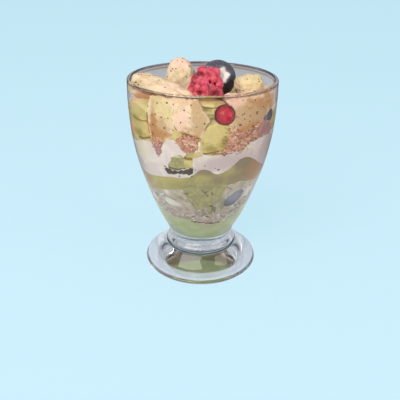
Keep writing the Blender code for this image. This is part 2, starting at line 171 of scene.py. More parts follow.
inside_run = smooth_through(BOWL_INSIDE)
glass_section = [(r, max(h, 0.0)) for r, h in smooth_through(UNDERSIDE, 3)] + round_edge(*FOOT_EDGE, -80, 80)
glass_section += smooth_through(DOME, 5) + smooth_through(COLLAR, 5) + smooth_through(BOWL_OUTSIDE)[1:]
glass_section += round_edge(*RIM, 10, 170) + inside_run
print("points in the glass's section:", len(glass_section))

# %% Extrude the section and spin it
def extrude_through(points):
    """Starts from one vertex on the X side and extrudes it from point to point."""
    bpy.ops.mesh.primitive_plane_add(size=MM, location=(0, 0, 0))
    strip = bpy.context.object
    bpy.ops.object.mode_set(mode="EDIT")
    bpy.ops.mesh.merge(type="CENTER")
    place = Vector((0, 0, 0))
    for radius, height in points:
        target = Vector((radius, 0, height)) * MM
        bpy.ops.mesh.extrude_region_move(TRANSFORM_OT_translate={"value": target - place})
        place = target
    bpy.ops.object.mode_set(mode="OBJECT")
    return strip


def spin_round(strip, sides):
    """Spins a section about the upright axis and closes it."""
    pick(strip)
    bpy.ops.object.mode_set(mode="EDIT")
    bpy.ops.mesh.select_all(action="SELECT")
    bpy.ops.mesh.spin(steps=sides, angle=math.tau, center=(0, 0, 0), axis=(0, 0, 1))
    bpy.ops.mesh.select_all(action="SELECT")
    bpy.ops.mesh.remove_doubles(threshold=1e-6)
    bpy.ops.mesh.normals_make_consistent(inside=False)
    bpy.ops.object.mode_set(mode="OBJECT")
    return strip


glass = spin_round(extrude_through(glass_section[1:]), GLASS_SIDES)
print("glass:", [round(side / MM, 1) for side in glass.dimensions], "mm")

# %% [markdown]
# ## Where the food meets the glass
#
# Custard and cream wet the glass, so no air shows between them. Each food piece is pushed against the
# inner wall and a few hundredths of a millimetre into it. Pieces that lie in front sink in a little
# deeper, so that the one in front hides the one behind.

# %% Press a piece against the wall
wall_heights = np.array([height for _, height in reversed(inside_run)]) * MM
wall_radii = np.array([radius for radius, _ in reversed(inside_run)]) * MM
# How far each kind of piece sinks into the glass, in millimetres.
FLOOR_PRESS = 0.03
LAYER_PRESS = 0.05
CHUNK_PRESS = 0.09
FRUIT_PRESS = 0.14
CRUMB_PRESS = 0.14
BIT_PRESS = 0.22


def wall_at(heights):
    return np.interp(heights, wall_heights, wall_radii)


def press(obj, depth, cling=0.5):
    """Flattens against the wall, sunk in by depth, whatever passes through it or comes within cling of it."""
    points = points_of(obj)
    reach = np.hypot(points[:, 0], points[:, 1])
    wall = wall_at(points[:, 2]) + depth * MM
    touching = (points[:, 2] < RIM[1] * MM) & (reach > wall - cling * MM)
    points[:, :2] *= np.where(touching, wall / np.maximum(reach, 1e-6), 1.0)[:, None]
    points[:, 2] = np.maximum(points[:, 2], wall_heights[0] - FLOOR_PRESS * MM)
    set_points(obj, points)


print("the wall at 60 mm:", round(float(wall_at(0.06)) / MM, 2), "mm from the axis")

# %% [markdown]
# ## Materials
#
# Nothing cooked has one flat colour. Custard is cloudy, a crumb is pale where it broke and brown where
# it baked, and a berry wears a dull bloom. Two node groups carry this for every food: one mixes two
# colours in soft patches and a fine grain, the other gives a height for small pits and bumps.

# %% Nodes in a few words
def feed(tree, node, inputs):
    """Sets a node's inputs, and links those whose value comes from another node."""
    for socket, value in inputs.items():
        if isinstance(value, bpy.types.NodeSocket):
            tree.links.new(value, node.inputs[socket])
        else:
            node.inputs[socket].default_value = value


def add_node(tree, kind, inputs=None, **settings):
    """A shader node with its settings, and its inputs by name or number."""
    node = tree.nodes.new("ShaderNode" + kind)
    for setting, value in settings.items():
        setattr(node, setting, value)
    feed(tree, node, inputs or {})
    return node


def reckon(tree, operation, *values, clamp=False):
    """A sum on numbers, such as DIVIDE."""
    return add_node(tree, "Math", dict(enumerate(values)), operation=operation, use_clamp=clamp).outputs[0]


def ramp_between(tree, value, low, high):
    """0 up to low and 1 from high, with a soft rise between."""
    limits = {"Value": value, "From Min": low, "From Max": high}
    return add_node(tree, "MapRange", limits, interpolation_type="SMOOTHSTEP").outputs["Result"]


def blend_colours(tree, share, one, two):
    """Goes from one colour at share 0 to the other at share 1."""
    ends = [end if isinstance(end, bpy.types.NodeSocket) else (*end, 1.0) for end in (one, two)]
    return add_node(tree, "Mix", {"Factor": share, 6: ends[0], 7: ends[1]}, data_type="RGBA").outputs[2]


def cloud(tree, place, size, detail=4.0, warp=0.0):
    """A noise pattern whose features are about size metres."""
    return add_node(tree, "TexNoise", {
        "Vector": place, "Scale": reckon(tree, "DIVIDE", 1.0, size),
        "Detail": detail, "Roughness": 0.55, "Distortion": warp}).outputs["Fac"]


# %% A node group for uneven colour
COLOUR = "NodeSocketColor"
NUMBER = "NodeSocketFloat"


def new_group(name, takes, gives):
    """A shader node group with its sockets. Each socket is (name, kind, value)."""
    group = bpy.data.node_groups.new(name, "ShaderNodeTree")
    for socket_name, kind, value in takes:
        socket = group.interface.new_socket(socket_name, in_out="INPUT", socket_type=kind)
        socket.default_value = value
    for socket_name, kind in gives:
        group.interface.new_socket(socket_name, in_out="OUTPUT", socket_type=kind)
    start = group.nodes.new("NodeGroupInput")
    stop = group.nodes.new("NodeGroupOutput")
    return group, start.outputs, stop


mottle, mottle_takes, mottle_out = new_group(
    "uneven colour",
    [("Light", COLOUR, (1, 1, 1, 1)), ("Dark", COLOUR, (0, 0, 0, 1)), ("Speck", COLOUR, (0, 0, 0, 1)),
     ("Patch Size", NUMBER, 0.006), ("Grain Size", NUMBER, 0.001)],
    [("Colour", COLOUR), ("Cloud", NUMBER)],
)
mottle_place = add_node(mottle, "TexCoord").outputs["Object"]
patches = cloud(mottle, mottle_place, mottle_takes["Patch Size"], warp=0.6)
grain = cloud(mottle, mottle_place, mottle_takes["Grain Size"], detail=2.0)
in_patches = blend_colours(
    mottle, ramp_between(mottle, patches, 0.36, 0.64), mottle_takes["Light"], mottle_takes["Dark"])
with_grain = blend_colours(mottle, ramp_between(mottle, grain, 0.58, 0.80), in_patches, mottle_takes["Speck"])
feed(mottle, mottle_out, {"Colour": with_grain, "Cloud": patches})
print("made the group for uneven colour")

# %% A node group for pits and bumps
crumb_relief, relief_takes, relief_out = new_group(
    "pits and bumps",
    [("Pit Size", NUMBER, 0.0012), ("Bump Size", NUMBER, 0.0025)],
    [("Height", NUMBER)],
)
relief_place = add_node(crumb_relief, "TexCoord").outputs["Object"]
bumps = cloud(crumb_relief, relief_place, relief_takes["Bump Size"], detail=5.0)
pit_scale = reckon(crumb_relief, "DIVIDE", 1.0, relief_takes["Pit Size"])
pits = add_node(crumb_relief, "TexVoronoi", {"Vector": relief_place, "Scale": pit_scale}).outputs["Distance"]
pit_walls = ramp_between(crumb_relief, pits, 0.0, 0.45)
feed(crumb_relief, relief_out, {"Height": reckon(crumb_relief, "ADD", pit_walls, bumps)})
print("made the group for pits and bumps")

# %% [markdown]
# A food's material then takes the two groups. Its brown baked sides, and its painted shade and highlights,
# are painted on the piece itself as attributes, because they follow the piece and not the room.

# %% Paint a number on a piece
def paint(obj, attribute, values):
    """Stores one number from 0 to 1 for each point of a piece, for its material to read."""
    layer = obj.data.attributes.new(attribute, "FLOAT", "POINT")
    layer.data.foreach_set("value", np.clip(values, 0, 1).astype(np.float32))


def painted_on(tree, attribute):
    """The number that was painted on the piece."""
    return add_node(tree, "Attribute", attribute_name=attribute).outputs["Fac"]


# %% Build a food material
PAINT_CLOUD = 0.9  # how far the clouds break up the edge of a painted patch
PAINT_SHOWS = 0.52
PAINT_COVERS = 1.42
RELIEF_HEIGHT = 0.4
LIGHT_REACH = 1.5  # how deep light goes into a soft food, in millimetres


def new_material(name):
    made = bpy.data.materials.new(name)
    made.use_nodes = True
    return made, made.node_tree, made.node_tree.nodes["Principled BSDF"]


def food(name, light, dark, speck, patch=6.0, grain=0.9, roughness=0.5, bump=0.3, pit=1.1, soft=0.0,
         painted=None):
    """A food finish: colours are linear, sizes millimetres, and soft is the share of light let through."""
    made, tree, shader = new_material(name)
    colours = add_node(tree, "Group", {
        "Light": (*light, 1), "Dark": (*dark, 1), "Speck": (*speck, 1),
        "Patch Size": patch * MM, "Grain Size": grain * MM}, node_tree=mottle)
    colour = colours.outputs["Colour"]
    for attribute, tint in (painted or {}).items():
        share = reckon(
            tree, "MULTIPLY_ADD", colours.outputs["Cloud"], PAINT_CLOUD, painted_on(tree, attribute))
        colour = blend_colours(tree, ramp_between(tree, share, PAINT_SHOWS, PAINT_COVERS), colour, tint)
    relief = add_node(
        tree, "Group", {"Pit Size": pit * MM, "Bump Size": 2.2 * pit * MM}, node_tree=crumb_relief)
    lift = add_node(tree, "Bump", {
        "Strength": bump, "Distance": RELIEF_HEIGHT * MM, "Height": relief.outputs["Height"]})
    feed(tree, shader, {
        "Base Color": colour, "Normal": lift.outputs["Normal"], "Roughness": roughness,
        "Subsurface Weight": soft, "Subsurface Radius": (1.0, 0.6, 0.4),
        "Subsurface Scale": LIGHT_REACH * MM})
    return made


def shade(red, green, blue):
    """A colour as read off the food (0 to 255), as the shader needs it."""
    shares = (red / 255, green / 255, blue / 255)
    return tuple(share / 12.92 if share < 0.0404 else ((share + 0.055) / 1.055) ** 2.4 for share in shares)


# %% The food finishes
pale_green_custard = food("pale green custard", shade(182, 190, 136), shade(164, 174, 118),
                          shade(176, 176, 128),
                          patch=9, grain=1.5, roughness=0.35, bump=0.0, soft=0.2,
                          painted={"beige": shade(178, 170, 136)})
soaked_crumbs = food("soaked crumbs", shade(190, 172, 154), shade(158, 140, 124), shade(118, 102, 82),
                     patch=3.0, grain=0.9, roughness=0.6, bump=0.5, pit=1.3,
                     painted={"pale": shade(214, 212, 202), "murky": shade(98, 92, 52)})
beige_cream = food("beige cream", shade(196, 183, 163), shade(176, 161, 142), shade(150, 142, 118),
                   patch=4, grain=1.0, roughness=0.5, bump=0.25,
                   painted={"pale": shade(222, 216, 206), "murky": shade(132, 128, 88)})
olive_custard = food("olive custard", shade(180, 170, 100), shade(158, 148, 84), shade(166, 150, 90),
                     patch=10, grain=1.6, roughness=0.35, bump=0.04, soft=0.2,
                     painted={"browned_and_shaded": shade(172, 124, 72), "greyed": shade(136, 122, 90)})
# In the whipped cream, the mauve tint is partly the cream's own tone and partly painted shade on its right side.
whipped_cream = food("whipped cream", shade(226, 216, 208), shade(214, 199, 194), shade(210, 202, 184),
                     patch=9, grain=2.0, roughness=0.45, bump=0.12, pit=2.0, soft=0.2,
                     painted={"mauve": shade(194, 178, 174), "buttery": shade(222, 214, 190)})
# In the yellow custard, the dark olive-brown tint is painted shade in creases and hollows, and the lighter tint
# is a painted highlight.
yellow_custard = food("yellow custard", shade(206, 190, 128), shade(184, 166, 96), shade(196, 170, 104),
                      patch=6, grain=1.3, roughness=0.38, bump=0.15, pit=1.6, soft=0.2,
                      painted={"warm": shade(226, 174, 122), "light": shade(196, 182, 121),
                               "shadowed": shade(158, 140, 74),
                               "browned_and_shaded": shade(128, 108, 48)})
# In the biscuit, the brown tones are baked colour and also painted shade on lower sides; the darkest tone is
# baked flecks and painted shade in the crevices along lower edges.
seeded_biscuit = food("seeded biscuit", shade(232, 212, 180), shade(214, 188, 154), shade(192, 162, 122),
                      patch=4.2, grain=1.0, roughness=0.8, bump=0.65, pit=1.1,
                      painted={"rosy": shade(230, 196, 174), "straw": shade(214, 196, 146),
                               "tan": shade(194, 164, 124),
                               "browned_and_shaded": shade(184, 134, 84), "burnt_and_crevice_shade": shade(118, 70, 36)})
# In the sponge, the darkest tint is painted shade in its cracks.
green_sponge = food("green sponge", shade(170, 163, 110), shade(148, 141, 94), shade(116, 106, 64),
                    patch=3, grain=0.7, roughness=0.7, bump=0.6, pit=0.8,
                    painted={"burnt_and_crevice_shade": shade(84, 76, 36), "pale": shade(206, 204, 150)})
dark_crust = food("dark crust", shade(74, 64, 40), shade(48, 40, 24), shade(132, 118, 88),
                  patch=2, grain=0.6, roughness=0.6, bump=0.5, pit=0.7)
# The darkest crumb tint darkens single crumbs, and on each heap's core it is painted shade in the gaps between
# the crumbs.
toasted_crumbs = food("toasted crumbs", shade(208, 158, 130), shade(182, 128, 104), shade(228, 188, 160),
                      patch=1.8, grain=0.5, roughness=0.75, bump=0.5, pit=0.6,
                      painted={"toast_and_gap_shade": shade(140, 88, 68), "pale": shade(234, 200, 174),
                               "mauve": shade(176, 134, 134)})
print("food finishes:", len(bpy.data.materials))

# %% [markdown]
# Glass is drawn by its edges: dark lines where the rim and the crease are seen edge-on, and a darker tint
# where the wall turns away. The lines are painted on the mesh, and the tint follows the angle of view. A
# shadow ray goes straight through, so that the lamp reaches the food without the wait for caustics.

# %% Clear glass
def edge_on(radius, height, spread):
    """How near each point of the glass is to a line round it, where it is seen edge-on and looks dark."""
    points = points_of(glass) / MM
    away = np.hypot(np.hypot(points[:, 0], points[:, 1]) - radius, points[:, 2] - height)
    return np.exp(-((away / spread) ** 2))


glass_heights = points_of(glass)[:, 2] / MM
paint(glass, "edge", edge_on(41.5, 114.3, 0.6) + edge_on(39.3, 114.7, 0.5) + edge_on(39.2, 113.0, 0.4))
paint(glass, "crease", 3 * edge_on(21.5, 13.8, 0.9))
paint(glass, "near_rim", (glass_heights - 104) / 7)
# Painted reflection: the glass is tinted warm pink towards the rim, for the colours that it shows there.
paint(glass, "pink_rim_reflection", (glass_heights - 109) / 3)
paint(glass, "rim_top", edge_on(40.4, 115.3, 0.7))

clear_glass, clear_tree, clear_shader = new_material("clear glass")
tint = blend_colours(clear_tree, painted_on(clear_tree, "pink_rim_reflection"), (0.97, 0.99, 1.0), (1.0, 0.90, 0.84))
tint = blend_colours(clear_tree, painted_on(clear_tree, "crease"), tint, (0.001, 0.003, 0.012))
tint = blend_colours(clear_tree, painted_on(clear_tree, "edge"), tint, (0.05, 0.02, 0.015))
near_rim = painted_on(clear_tree, "near_rim")
turned_tint = blend_colours(clear_tree, near_rim, (0.30, 0.24, 0.24), (0.03, 0.02, 0.03))
facing = add_node(clear_tree, "LayerWeight", {"Blend": 0.5}).outputs["Facing"]
turned = ramp_between(clear_tree, facing, 0.72, 1.0)
smears = add_node(clear_tree, "Group", {
    "Light": (0.0, 0.0, 0.0, 1), "Dark": (0.03, 0.03, 0.03, 1), "Speck": (0.05, 0.05, 0.05, 1),
    "Patch Size": 14 * MM, "Grain Size": 2.5 * MM}, node_tree=mottle)
feed(clear_tree, clear_shader, {
    "Base Color": blend_colours(clear_tree, turned, tint, turned_tint), "Roughness": smears.outputs["Colour"],
    "Coat Weight": painted_on(clear_tree, "rim_top"), "Coat IOR": 2.4, "Coat Tint": (1.0, 0.88, 0.88, 1),
    "Transmission Weight": 1.0, "IOR": 1.5})
shadow_ray = add_node(clear_tree, "LightPath").outputs["Is Shadow Ray"]
lamp_way = add_node(clear_tree, "BsdfTransparent", {"Color": (0.82, 0.86, 0.89, 1.0)})
by_ray = add_node(clear_tree, "MixShader", {
    0: shadow_ray, 1: clear_shader.outputs[0], 2: lamp_way.outputs[0]})
feed(clear_tree, clear_tree.nodes["Material Output"], {"Surface": by_ray.outputs[0]})
serve(glass, "dessert_glass", clear_glass, "clear_glass", "glass")

# %% [markdown]
# ## The layers
#
# A layer is poured or spooned onto the one below, so its edge at the glass rises and dips. Each starts
# as a cylinder with many sides. Its upright edges are subdivided into rings, and then every point is
# carried out to the wall, between the layer's own edge and the edge of the one below.

# %% The edges of the layers at the wall
LAYER_SIDES = 480
# Each edge as (azimuth, height in millimetres) round the glass.
EDGES = {
    "floor": [(0, 21.02)],
    "base_custard": [
        (-180, 40), (-150, 41.2), (-115, 42.5), (-90, 44.3), (-68, 45.8), (-62, 43.4), (-54, 40.6),
        (-39, 38.9), (-24, 39.5), (-13, 38.4), (-1, 37.5), (14, 36.4), (27, 36.3), (37.5, 37.7), (49, 40.3),
        (57, 44), (75, 44.5), (100, 42), (130, 39.5), (155, 39.8)],
    "lower_crumbs": [
        (-180, 47), (-150, 46.5), (-115, 49), (-90, 51), (-72, 50.6), (-62, 47.6), (-50, 45.3), (-33, 46.2),
        (-19, 49), (-7, 49.1), (5, 49.2), (15, 46.6), (27, 45.6), (37, 47.4), (46, 51.1), (60, 53.5),
        (90, 51.5), (120, 48.5), (150, 46.5)],
    "lower_cream": [
        (-180, 62.5), (-140, 61.5), (-110, 59.5), (-85, 56.5), (-65, 54.8), (-47, 57.9), (-32, 60.1),
        (-21, 61.6), (-11, 62.8), (-1, 63.5), (8, 62.7), (14, 62.1), (20, 63.1), (27.5, 64.7), (38, 65.1),
        (53, 63.4), (66, 62), (90, 61), (130, 60.5)],
    "green_custard": [
        (-180, 70), (-155, 73.5), (-138, 75.5), (-118, 72), (-95, 70), (-70, 67.3), (-61, 66), (-52, 66),
        (-41, 67.3), (-29, 68.9), (-19, 69.4), (-10, 70.5), (-5.4, 72.6), (-2, 75.2), (2, 75.9), (7, 74.9),
        (10.6, 72.9), (14, 72.4), (17.5, 73.1), (22.5, 74.8), (27.4, 77.1), (32, 79.8), (37, 80.6),
        (43, 79.4), (49, 77.4), (57, 74), (70, 70), (85, 68.5), (110, 70.5), (130, 72.5), (155, 70.5)],
    "white_cream": [
        (-180, 91), (-165, 92), (-145, 88), (-120, 85), (-95, 84), (-70, 83.6), (-53, 86.6), (-44, 87.7),
        (-39.5, 87.3), (-33.6, 86), (-28.5, 90.3), (-24, 91.7), (-20, 91.3), (-17.2, 88.8), (-12, 86.9),
        (-6.5, 88.9), (-4.3, 91.8), (-1.5, 91.6), (-0.4, 89), (0.8, 84.7), (4, 84.5), (7.8, 85.3),
        (11.6, 85.8), (15.4, 86.1), (19.3, 86.7), (25, 87), (36.5, 88.2), (44.3, 89.8), (52.7, 90.6),
        (62, 91), (75, 90.5), (100, 89), (130, 88.5), (160, 91.5)],
    "top_custard": [(-180, 97.5), (-100, 100), (-56, 99.5), (0, 97.5), (90, 98)],
}
RAGGED = {"base_custard": 0.3, "lower_crumbs": 0.8, "lower_cream": 0.4, "green_custard": 0.12,
          "white_cream": 0.25}


def ragged_line(azimuths, seed, size):
    """A closed uneven line made of waves that fit a whole number of times round the glass."""
    draw = random.Random(seed)
    line = np.zeros(len(azimuths))
    for waves in (9, 17, 31, 47, 71, 103):
        line += np.sin(np.radians(azimuths) * waves + draw.uniform(0, math.tau)) * (9 / waves) ** 0.6
    return size * line / 2.2


def edge_height(name, azimuths):
    """Height of a layer's edge at the wall, in metres."""
    edge = sorted(EDGES[name])
    turned = [a for a, _ in edge]
    line = np.interp((azimuths + 180) % 360 - 180, turned, [h for _, h in edge], period=360)
    line += ragged_line(azimuths, len(name), RAGGED.get(name, 0.0))
    return line * MM


azimuth_row = np.arange(LAYER_SIDES) * 360 / LAYER_SIDES
for layer in EDGES:
    front = round(float(edge_height(layer, azimuth_row)[0]) / MM, 1)
    print(layer, "meets the front of the wall at", front, "mm")

# %% Pour a layer
def ringed_cylinder(sides, rings):
    """A closed cylinder of unit size whose upright edges are cut into rings."""
    bpy.ops.mesh.primitive_cylinder_add(vertices=sides, radius=1, depth=1, end_fill_type="TRIFAN")
    body = bpy.context.object
    bpy.ops.object.mode_set(mode="EDIT")
    bpy.ops.mesh.select_mode(type="EDGE")
    bpy.ops.mesh.select_all(action="DESELECT")
    bpy.ops.object.mode_set(mode="OBJECT")
    points = points_of(body)
    ends = np.empty(len(body.data.edges) * 2, dtype=np.int32)
    body.data.edges.foreach_get("vertices", ends)
    ends = ends.reshape(-1, 2)
    body.data.edges.foreach_set("select", np.abs(points[ends[:, 0], 2] - points[ends[:, 1], 2]) > 0.5)
    bpy.ops.object.mode_set(mode="EDIT")
    bpy.ops.mesh.subdivide(number_cuts=rings - 1)
    bpy.ops.object.mode_set(mode="OBJECT")
    return body


def pour(name, below, rings, relief=0.0, relief_size=4.0, crowd=1.0, sink=0.0):
    """A layer from the edge below to its own, out to the wall, with hollows up to relief millimetres deep.
    A crowd above 1 puts more of the rings low down, and the lower rings sink in by sink millimetres."""
    layer = ringed_cylinder(LAYER_SIDES, rings)
    points = points_of(layer)
    azimuths = azimuths_of(points) % 360
    low = edge_height(below, azimuths)
    high = edge_height(name, azimuths)
    share = np.clip(points[:, 2] + 0.5, 0, 1) ** crowd
    at_wall = np.hypot(points[:, 0], points[:, 1]) > 0.5
    heights = np.where(at_wall, low + (high - low) * share, np.where(share > 0.5, high.mean(), low.mean()))
    reach = wall_at(heights) + LAYER_PRESS * MM
    turn = np.radians(azimuths)
    heights -= sink * MM * (1 - share)
    placed = np.stack([reach * np.sin(turn) * at_wall, -reach * np.cos(turn) * at_wall, heights], axis=1)
    set_points(layer, placed)
    if relief:
        hollow_out(layer, relief, relief_size)
    return layer


def hollow_out(obj, depth, size):
    """Draws patches of the surface back from the wall, as where a crumb or an air bubble sits."""
    pattern = bpy.data.textures.new("hollows", "CLOUDS")
    pattern.noise_scale = size * MM
    pattern.noise_depth = 3
    level = 0.55  # the pattern above this level is drawn back
    points = points_of(obj)
    for i, vert in enumerate(obj.data.vertices):
        amount = pattern.evaluate(vert.co)[3]
        if amount > level:
            points[i, :2] *= 1 - depth * MM * (amount - level) / (1 - level) / max(wall_at(vert.co.z), MM)
    set_points(obj, points)


base = pour("base_custard", "floor", 56, crowd=2.4, sink=0.12)
serve(base, "base_custard_fill", pale_green_custard, "pale_green_custard", "base_custard")
crumb_bed = pour("lower_crumbs", "base_custard", 30, relief=0.5, relief_size=2.2)
serve(crumb_bed, "soaked_crumb_bed", soaked_crumbs, "soaked_crumbs", "lower_crumbs")
cream_bed = pour("lower_cream", "lower_crumbs", 34, relief=0.25, relief_size=3.5)
serve(cream_bed, "beige_cream_fill", beige_cream, "lower_cream", "lower_cream")
olive = pour("green_custard", "lower_cream", 30)
serve(olive, "olive_custard_fill", olive_custard, "olive_custard", "green_custard")
white = pour("white_cream", "green_custard", 44)
serve(white, "whipped_cream_fill", whipped_cream, "whipped_cream", "white_cream")

# %% Patches and streaks to paint
def patches_at(points, patches):
    """Soft patches as (azimuth, height, half width in degrees, half height in millimetres, strength)."""
    azimuths = azimuths_of(points)
    painted = np.zeros(len(points))
    for azimuth, height, half_width, half_height, strength in patches:
        across = ((azimuths - azimuth + 180) % 360 - 180) / half_width
        upward = (points[:, 2] / MM - height) / half_height
        painted += strength * np.exp(-(across**2 + upward**2))
    return painted


def streaks_at(points, streaks):
    """Soft lines as ([(azimuth, height), ...], half width in millimetres, strength)."""
    azimuths = azimuths_of(points)
    heights = points[:, 2] / MM
    painted = np.zeros(len(points))
    for line, half_width, strength in streaks:
        middle = sum(a for a, _ in line) / len(line)
        to_mm = math.radians(1) * float(wall_at(line[0][1] * MM)) / MM
        across = ((azimuths - middle + 180) % 360 - 180) * to_mm
        nearest = np.full(len(points), np.inf)
        for (a, b), (c, d) in zip(line, line[1:]):
            start = np.array([(a - middle) * to_mm, b])
            run = np.array([(c - a) * to_mm, d - b])
            offset = np.stack([across, heights], axis=1) - start
            share = np.clip(offset @ run / max(run @ run, 1e-9), 0, 1)
            nearest = np.minimum(nearest, np.linalg.norm(offset - share[:, None] * run, axis=1))
        painted = np.maximum(painted, strength * np.exp(-((nearest / half_width) ** 2)))
    return painted


def dab(obj, attribute, patches, streaks=()):
    """Paints patches and streaks on a piece."""
    points = points_of(obj)
    paint(obj, attribute, patches_at(points, patches) + streaks_at(points, streaks))


# %% Paint the layers
dab(base, "beige", [(12, 35, 26, 3.6, 1.0), (-48, 37.5, 12, 3, 0.5), (-150, 37, 40, 4, 0.9)])
dab(olive, "browned_and_shaded", [(62, 70, 17, 8, 1.3), (46, 73, 12, 5, 0.6), (-62, 62, 9, 5, 1.0),
                       (-150, 70, 20, 9, 0.7)])
dab(olive, "greyed", [(2, 74.6, 8, 2.0, 1.3), (37, 78, 12, 4, 1.1), (24, 69, 30, 6, 0.75),
                      (-140, 77, 12, 3, 0.9)])
# Mauve patches: the cream's own mauve tone, and on its right side, away from the window lamp, painted shade.
dab(white, "mauve", [
    (64, 80, 12, 12, 1.1), (-66, 71, 7, 5, 1.1), (28, 80, 22, 6, 0.8), (10, 79, 10, 4, 0.8),
    (-15, 77, 9, 4, 0.35), (-6, 74, 9, 3, 0.5), (140, 80, 30, 8, 0.6)])
dab(white, "buttery", [
    (-56, 81, 12, 7, 0.9), (-2.5, 89, 3, 3, 0.7), (-9, 78.5, 4, 4, 0.9), (36, 86.5, 9, 1.6, 0.9),
    (-130, 80, 20, 6, 0.8)])
PALE_LUMPS = [
    (-64, 50, 5, 3, 1.1), (-38, 50, 5, 2.6, 1.2), (-38, 58, 4, 3, 1.0), (-36, 52, 7, 1.6, 1.0),
    (-28, 50, 6, 1.4, 0.8), (-60, 44, 6, 2, 1.1), (42, 43, 5, 4, 0.8), (25, 48.5, 5, 3, 0.7),
    (14, 45, 3, 3, 0.5), (58, 55, 8, 5, 0.9)]
MURKY_SPOTS = [(2, 56, 24, 7, 0.75), (10, 45.5, 9, 3, 0.6), (25, 50, 6, 5, 0.8)]
MURKY_STREAKS = [
    ([(-44, 55.5), (-36, 54), (-28, 53)], 1.1, 0.5), ([(-52, 51), (-43, 48.5), (-36, 47.5)], 0.9, 0.55),
    ([(-30, 57.5), (-22, 55.5)], 1.2, 0.5), ([(-12, 38.7), (-3, 37.4), (6, 36.9)], 0.5, 1.2),
    ([(14, 36.7), (21, 36.5), (27, 37)], 0.6, 1.2), ([(-24, 42.5), (-16, 41.5), (-9, 42.5)], 0.5, 0.8),
    ([(2, 43), (9, 42), (14, 43.5)], 0.6, 0.8), ([(33, 41), (42, 43), (50, 46)], 0.5, 0.9),
    ([(19, 63.2), (24, 63.6), (31, 61)], 0.5, 0.8)]
for spread in (crumb_bed, cream_bed):
    dab(spread, "pale", PALE_LUMPS)
    dab(spread, "murky", MURKY_SPOTS, MURKY_STREAKS)
print("painted the layers")

# %% [markdown]
# ## The folded custard
#
# The top custard is thick enough to stand in folds. A fold could be sculpted, but a simple way is to
# stack flattened balls on the poured layer, melt them into one skin with a voxel remesh, and smooth it
# a little. The creases between the folds stay, and where they draw back from the glass they show dark;
# they are also painted darker, as painted shade.

# %% Helpers for soft forms
def join(pieces):
    """Joins pieces into the first of them."""
    clear_selection()
    for piece in pieces:
        piece.select_set(True)
    bpy.context.view_layer.objects.active = pieces[0]
    bpy.ops.object.join()
    return pieces[0]


def melt_together(obj, voxel, rounds):
    """Melts overlapping forms into one skin of voxel millimetres, then smooths it in a few rounds."""
    modify(obj, "REMESH", mode="VOXEL", voxel_size=voxel * MM)
    modify(obj, "SMOOTH", factor=0.5, iterations=rounds)


def displaced(obj, size, strength, detail, seed):
    """Pushes the surface in and out by a cloudy pattern with features of size millimetres."""
    pattern = bpy.data.textures.new("relief", "CLOUDS")
    pattern.noise_scale = size * MM
    pattern.noise_depth = detail
    shift = Vector((7.3 * seed, 3.1 * seed, 5.7 * seed)) * MM
    obj.data.transform(Matrix.Translation(shift))
    modify(obj, "DISPLACE", texture=pattern, strength=strength * MM, mid_level=0.5, texture_coords="LOCAL")
    obj.data.transform(Matrix.Translation(-shift))


# %% Stack the folds
# Azimuth, distance, height, (width, depth, tall), tilt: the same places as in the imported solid.
FOLDS = [
    (9, 32.8, 88.4, (17, 16, 10.4), 4),
    (12, 31.8, 97.0, (19, 18, 12.6), -3),
    (7, 31.5, 105.2, (18, 15.5, 6.2), 6),
    (6, 31.0, 109.2, (18, 13, 3.8), 5),
    (-55, 33.0, 92.2, (27, 16, 10.6), -3),
    (-58, 33.0, 102.2, (26, 16, 12.6), 5),
    (-97, 34.0, 100.5, (32, 17, 16.0), 0),
    (88, 33.5, 99.5, (32, 17, 15.0), -4),
    (-140, 28.0, 99.0, (20, 16, 9.0), 4),
    (132, 28.0, 99.0, (20, 16, 9.5), 0),
]


def fold(azimuth, distance, height, size, tilt):
    bpy.ops.mesh.primitive_uv_sphere_add(
        segments=32, ring_count=20, radius=0.5, location=around(azimuth, distance, height),
        rotation=(0, math.radians(tilt), math.radians(azimuth)), scale=[side * MM for side in size])
    return settle(bpy.context.object)


folded = join([pour("top_custard", "white_cream", 6)] + [fold(*spec) for spec in FOLDS])
melt_together(folded, 0.45, 2)
displaced(folded, 6.0, 0.7, detail=2, seed=3)
press(folded, CHUNK_PRESS)
print("stacked", len(FOLDS), "folds")

# %% Crease the folds, and paint shade and highlights on them
# Creases across the folds, as lines on the wall with a half width in millimetres and a strength.
CREASES = [
    ([(-1, 109.4), (6, 108.4), (14, 108.8)], 0.4, 0.8), ([(2.5, 105.9), (9, 105.4), (13, 106.6)], 0.55, 1.2),
    ([(4.5, 103.2), (3.5, 100.5), (1.5, 97.8)], 0.5, 1.0), ([(1.0, 96), (0.8, 91), (1.2, 86)], 0.35, 0.6),
    ([(1.2, 85.0), (8, 85.7), (15, 86.5), (20, 87.4)], 0.6, 1.2), ([(16.5, 99.0), (20.5, 96.9)], 0.35, 0.8),
    ([(17.0, 96.4), (21, 95.4)], 0.3, 0.9), ([(16.4, 94.2), (20.6, 93.6)], 0.3, 0.9),
    ([(15.6, 92.4), (20.4, 91.6)], 0.3, 0.9), ([(15.8, 90.6), (20, 89.6)], 0.35, 1.0),
    ([(14, 88.9), (18.6, 88.3)], 0.3, 0.8), ([(3, 91.4), (9, 90.2), (13, 90.6)], 0.35, 0.5),
    ([(-70, 98.4), (-60, 97.6), (-50, 98.0), (-43, 99)], 0.5, 0.9),
    ([(-58, 87.6), (-50, 88.4), (-43, 90.2)], 0.6, 1.2),
    ([(-43.6, 109), (-43.8, 100), (-43.2, 93)], 0.5, 0.9), ([(-68, 104), (-66, 100), (-68, 94)], 0.5, 0.5),
    ([(75, 99), (84, 97.6), (96, 98.6)], 0.5, 0.9), ([(120, 96), (133, 94.8), (145, 96)], 0.5, 0.9),
    ([(-152, 95.6), (-140, 94.6), (-130, 95.6)], 0.5, 0.9),
]
CREASE_SHARE = 0.0012  # how far a crease draws back, as a share of its distance from the axis
folded_points = points_of(folded)
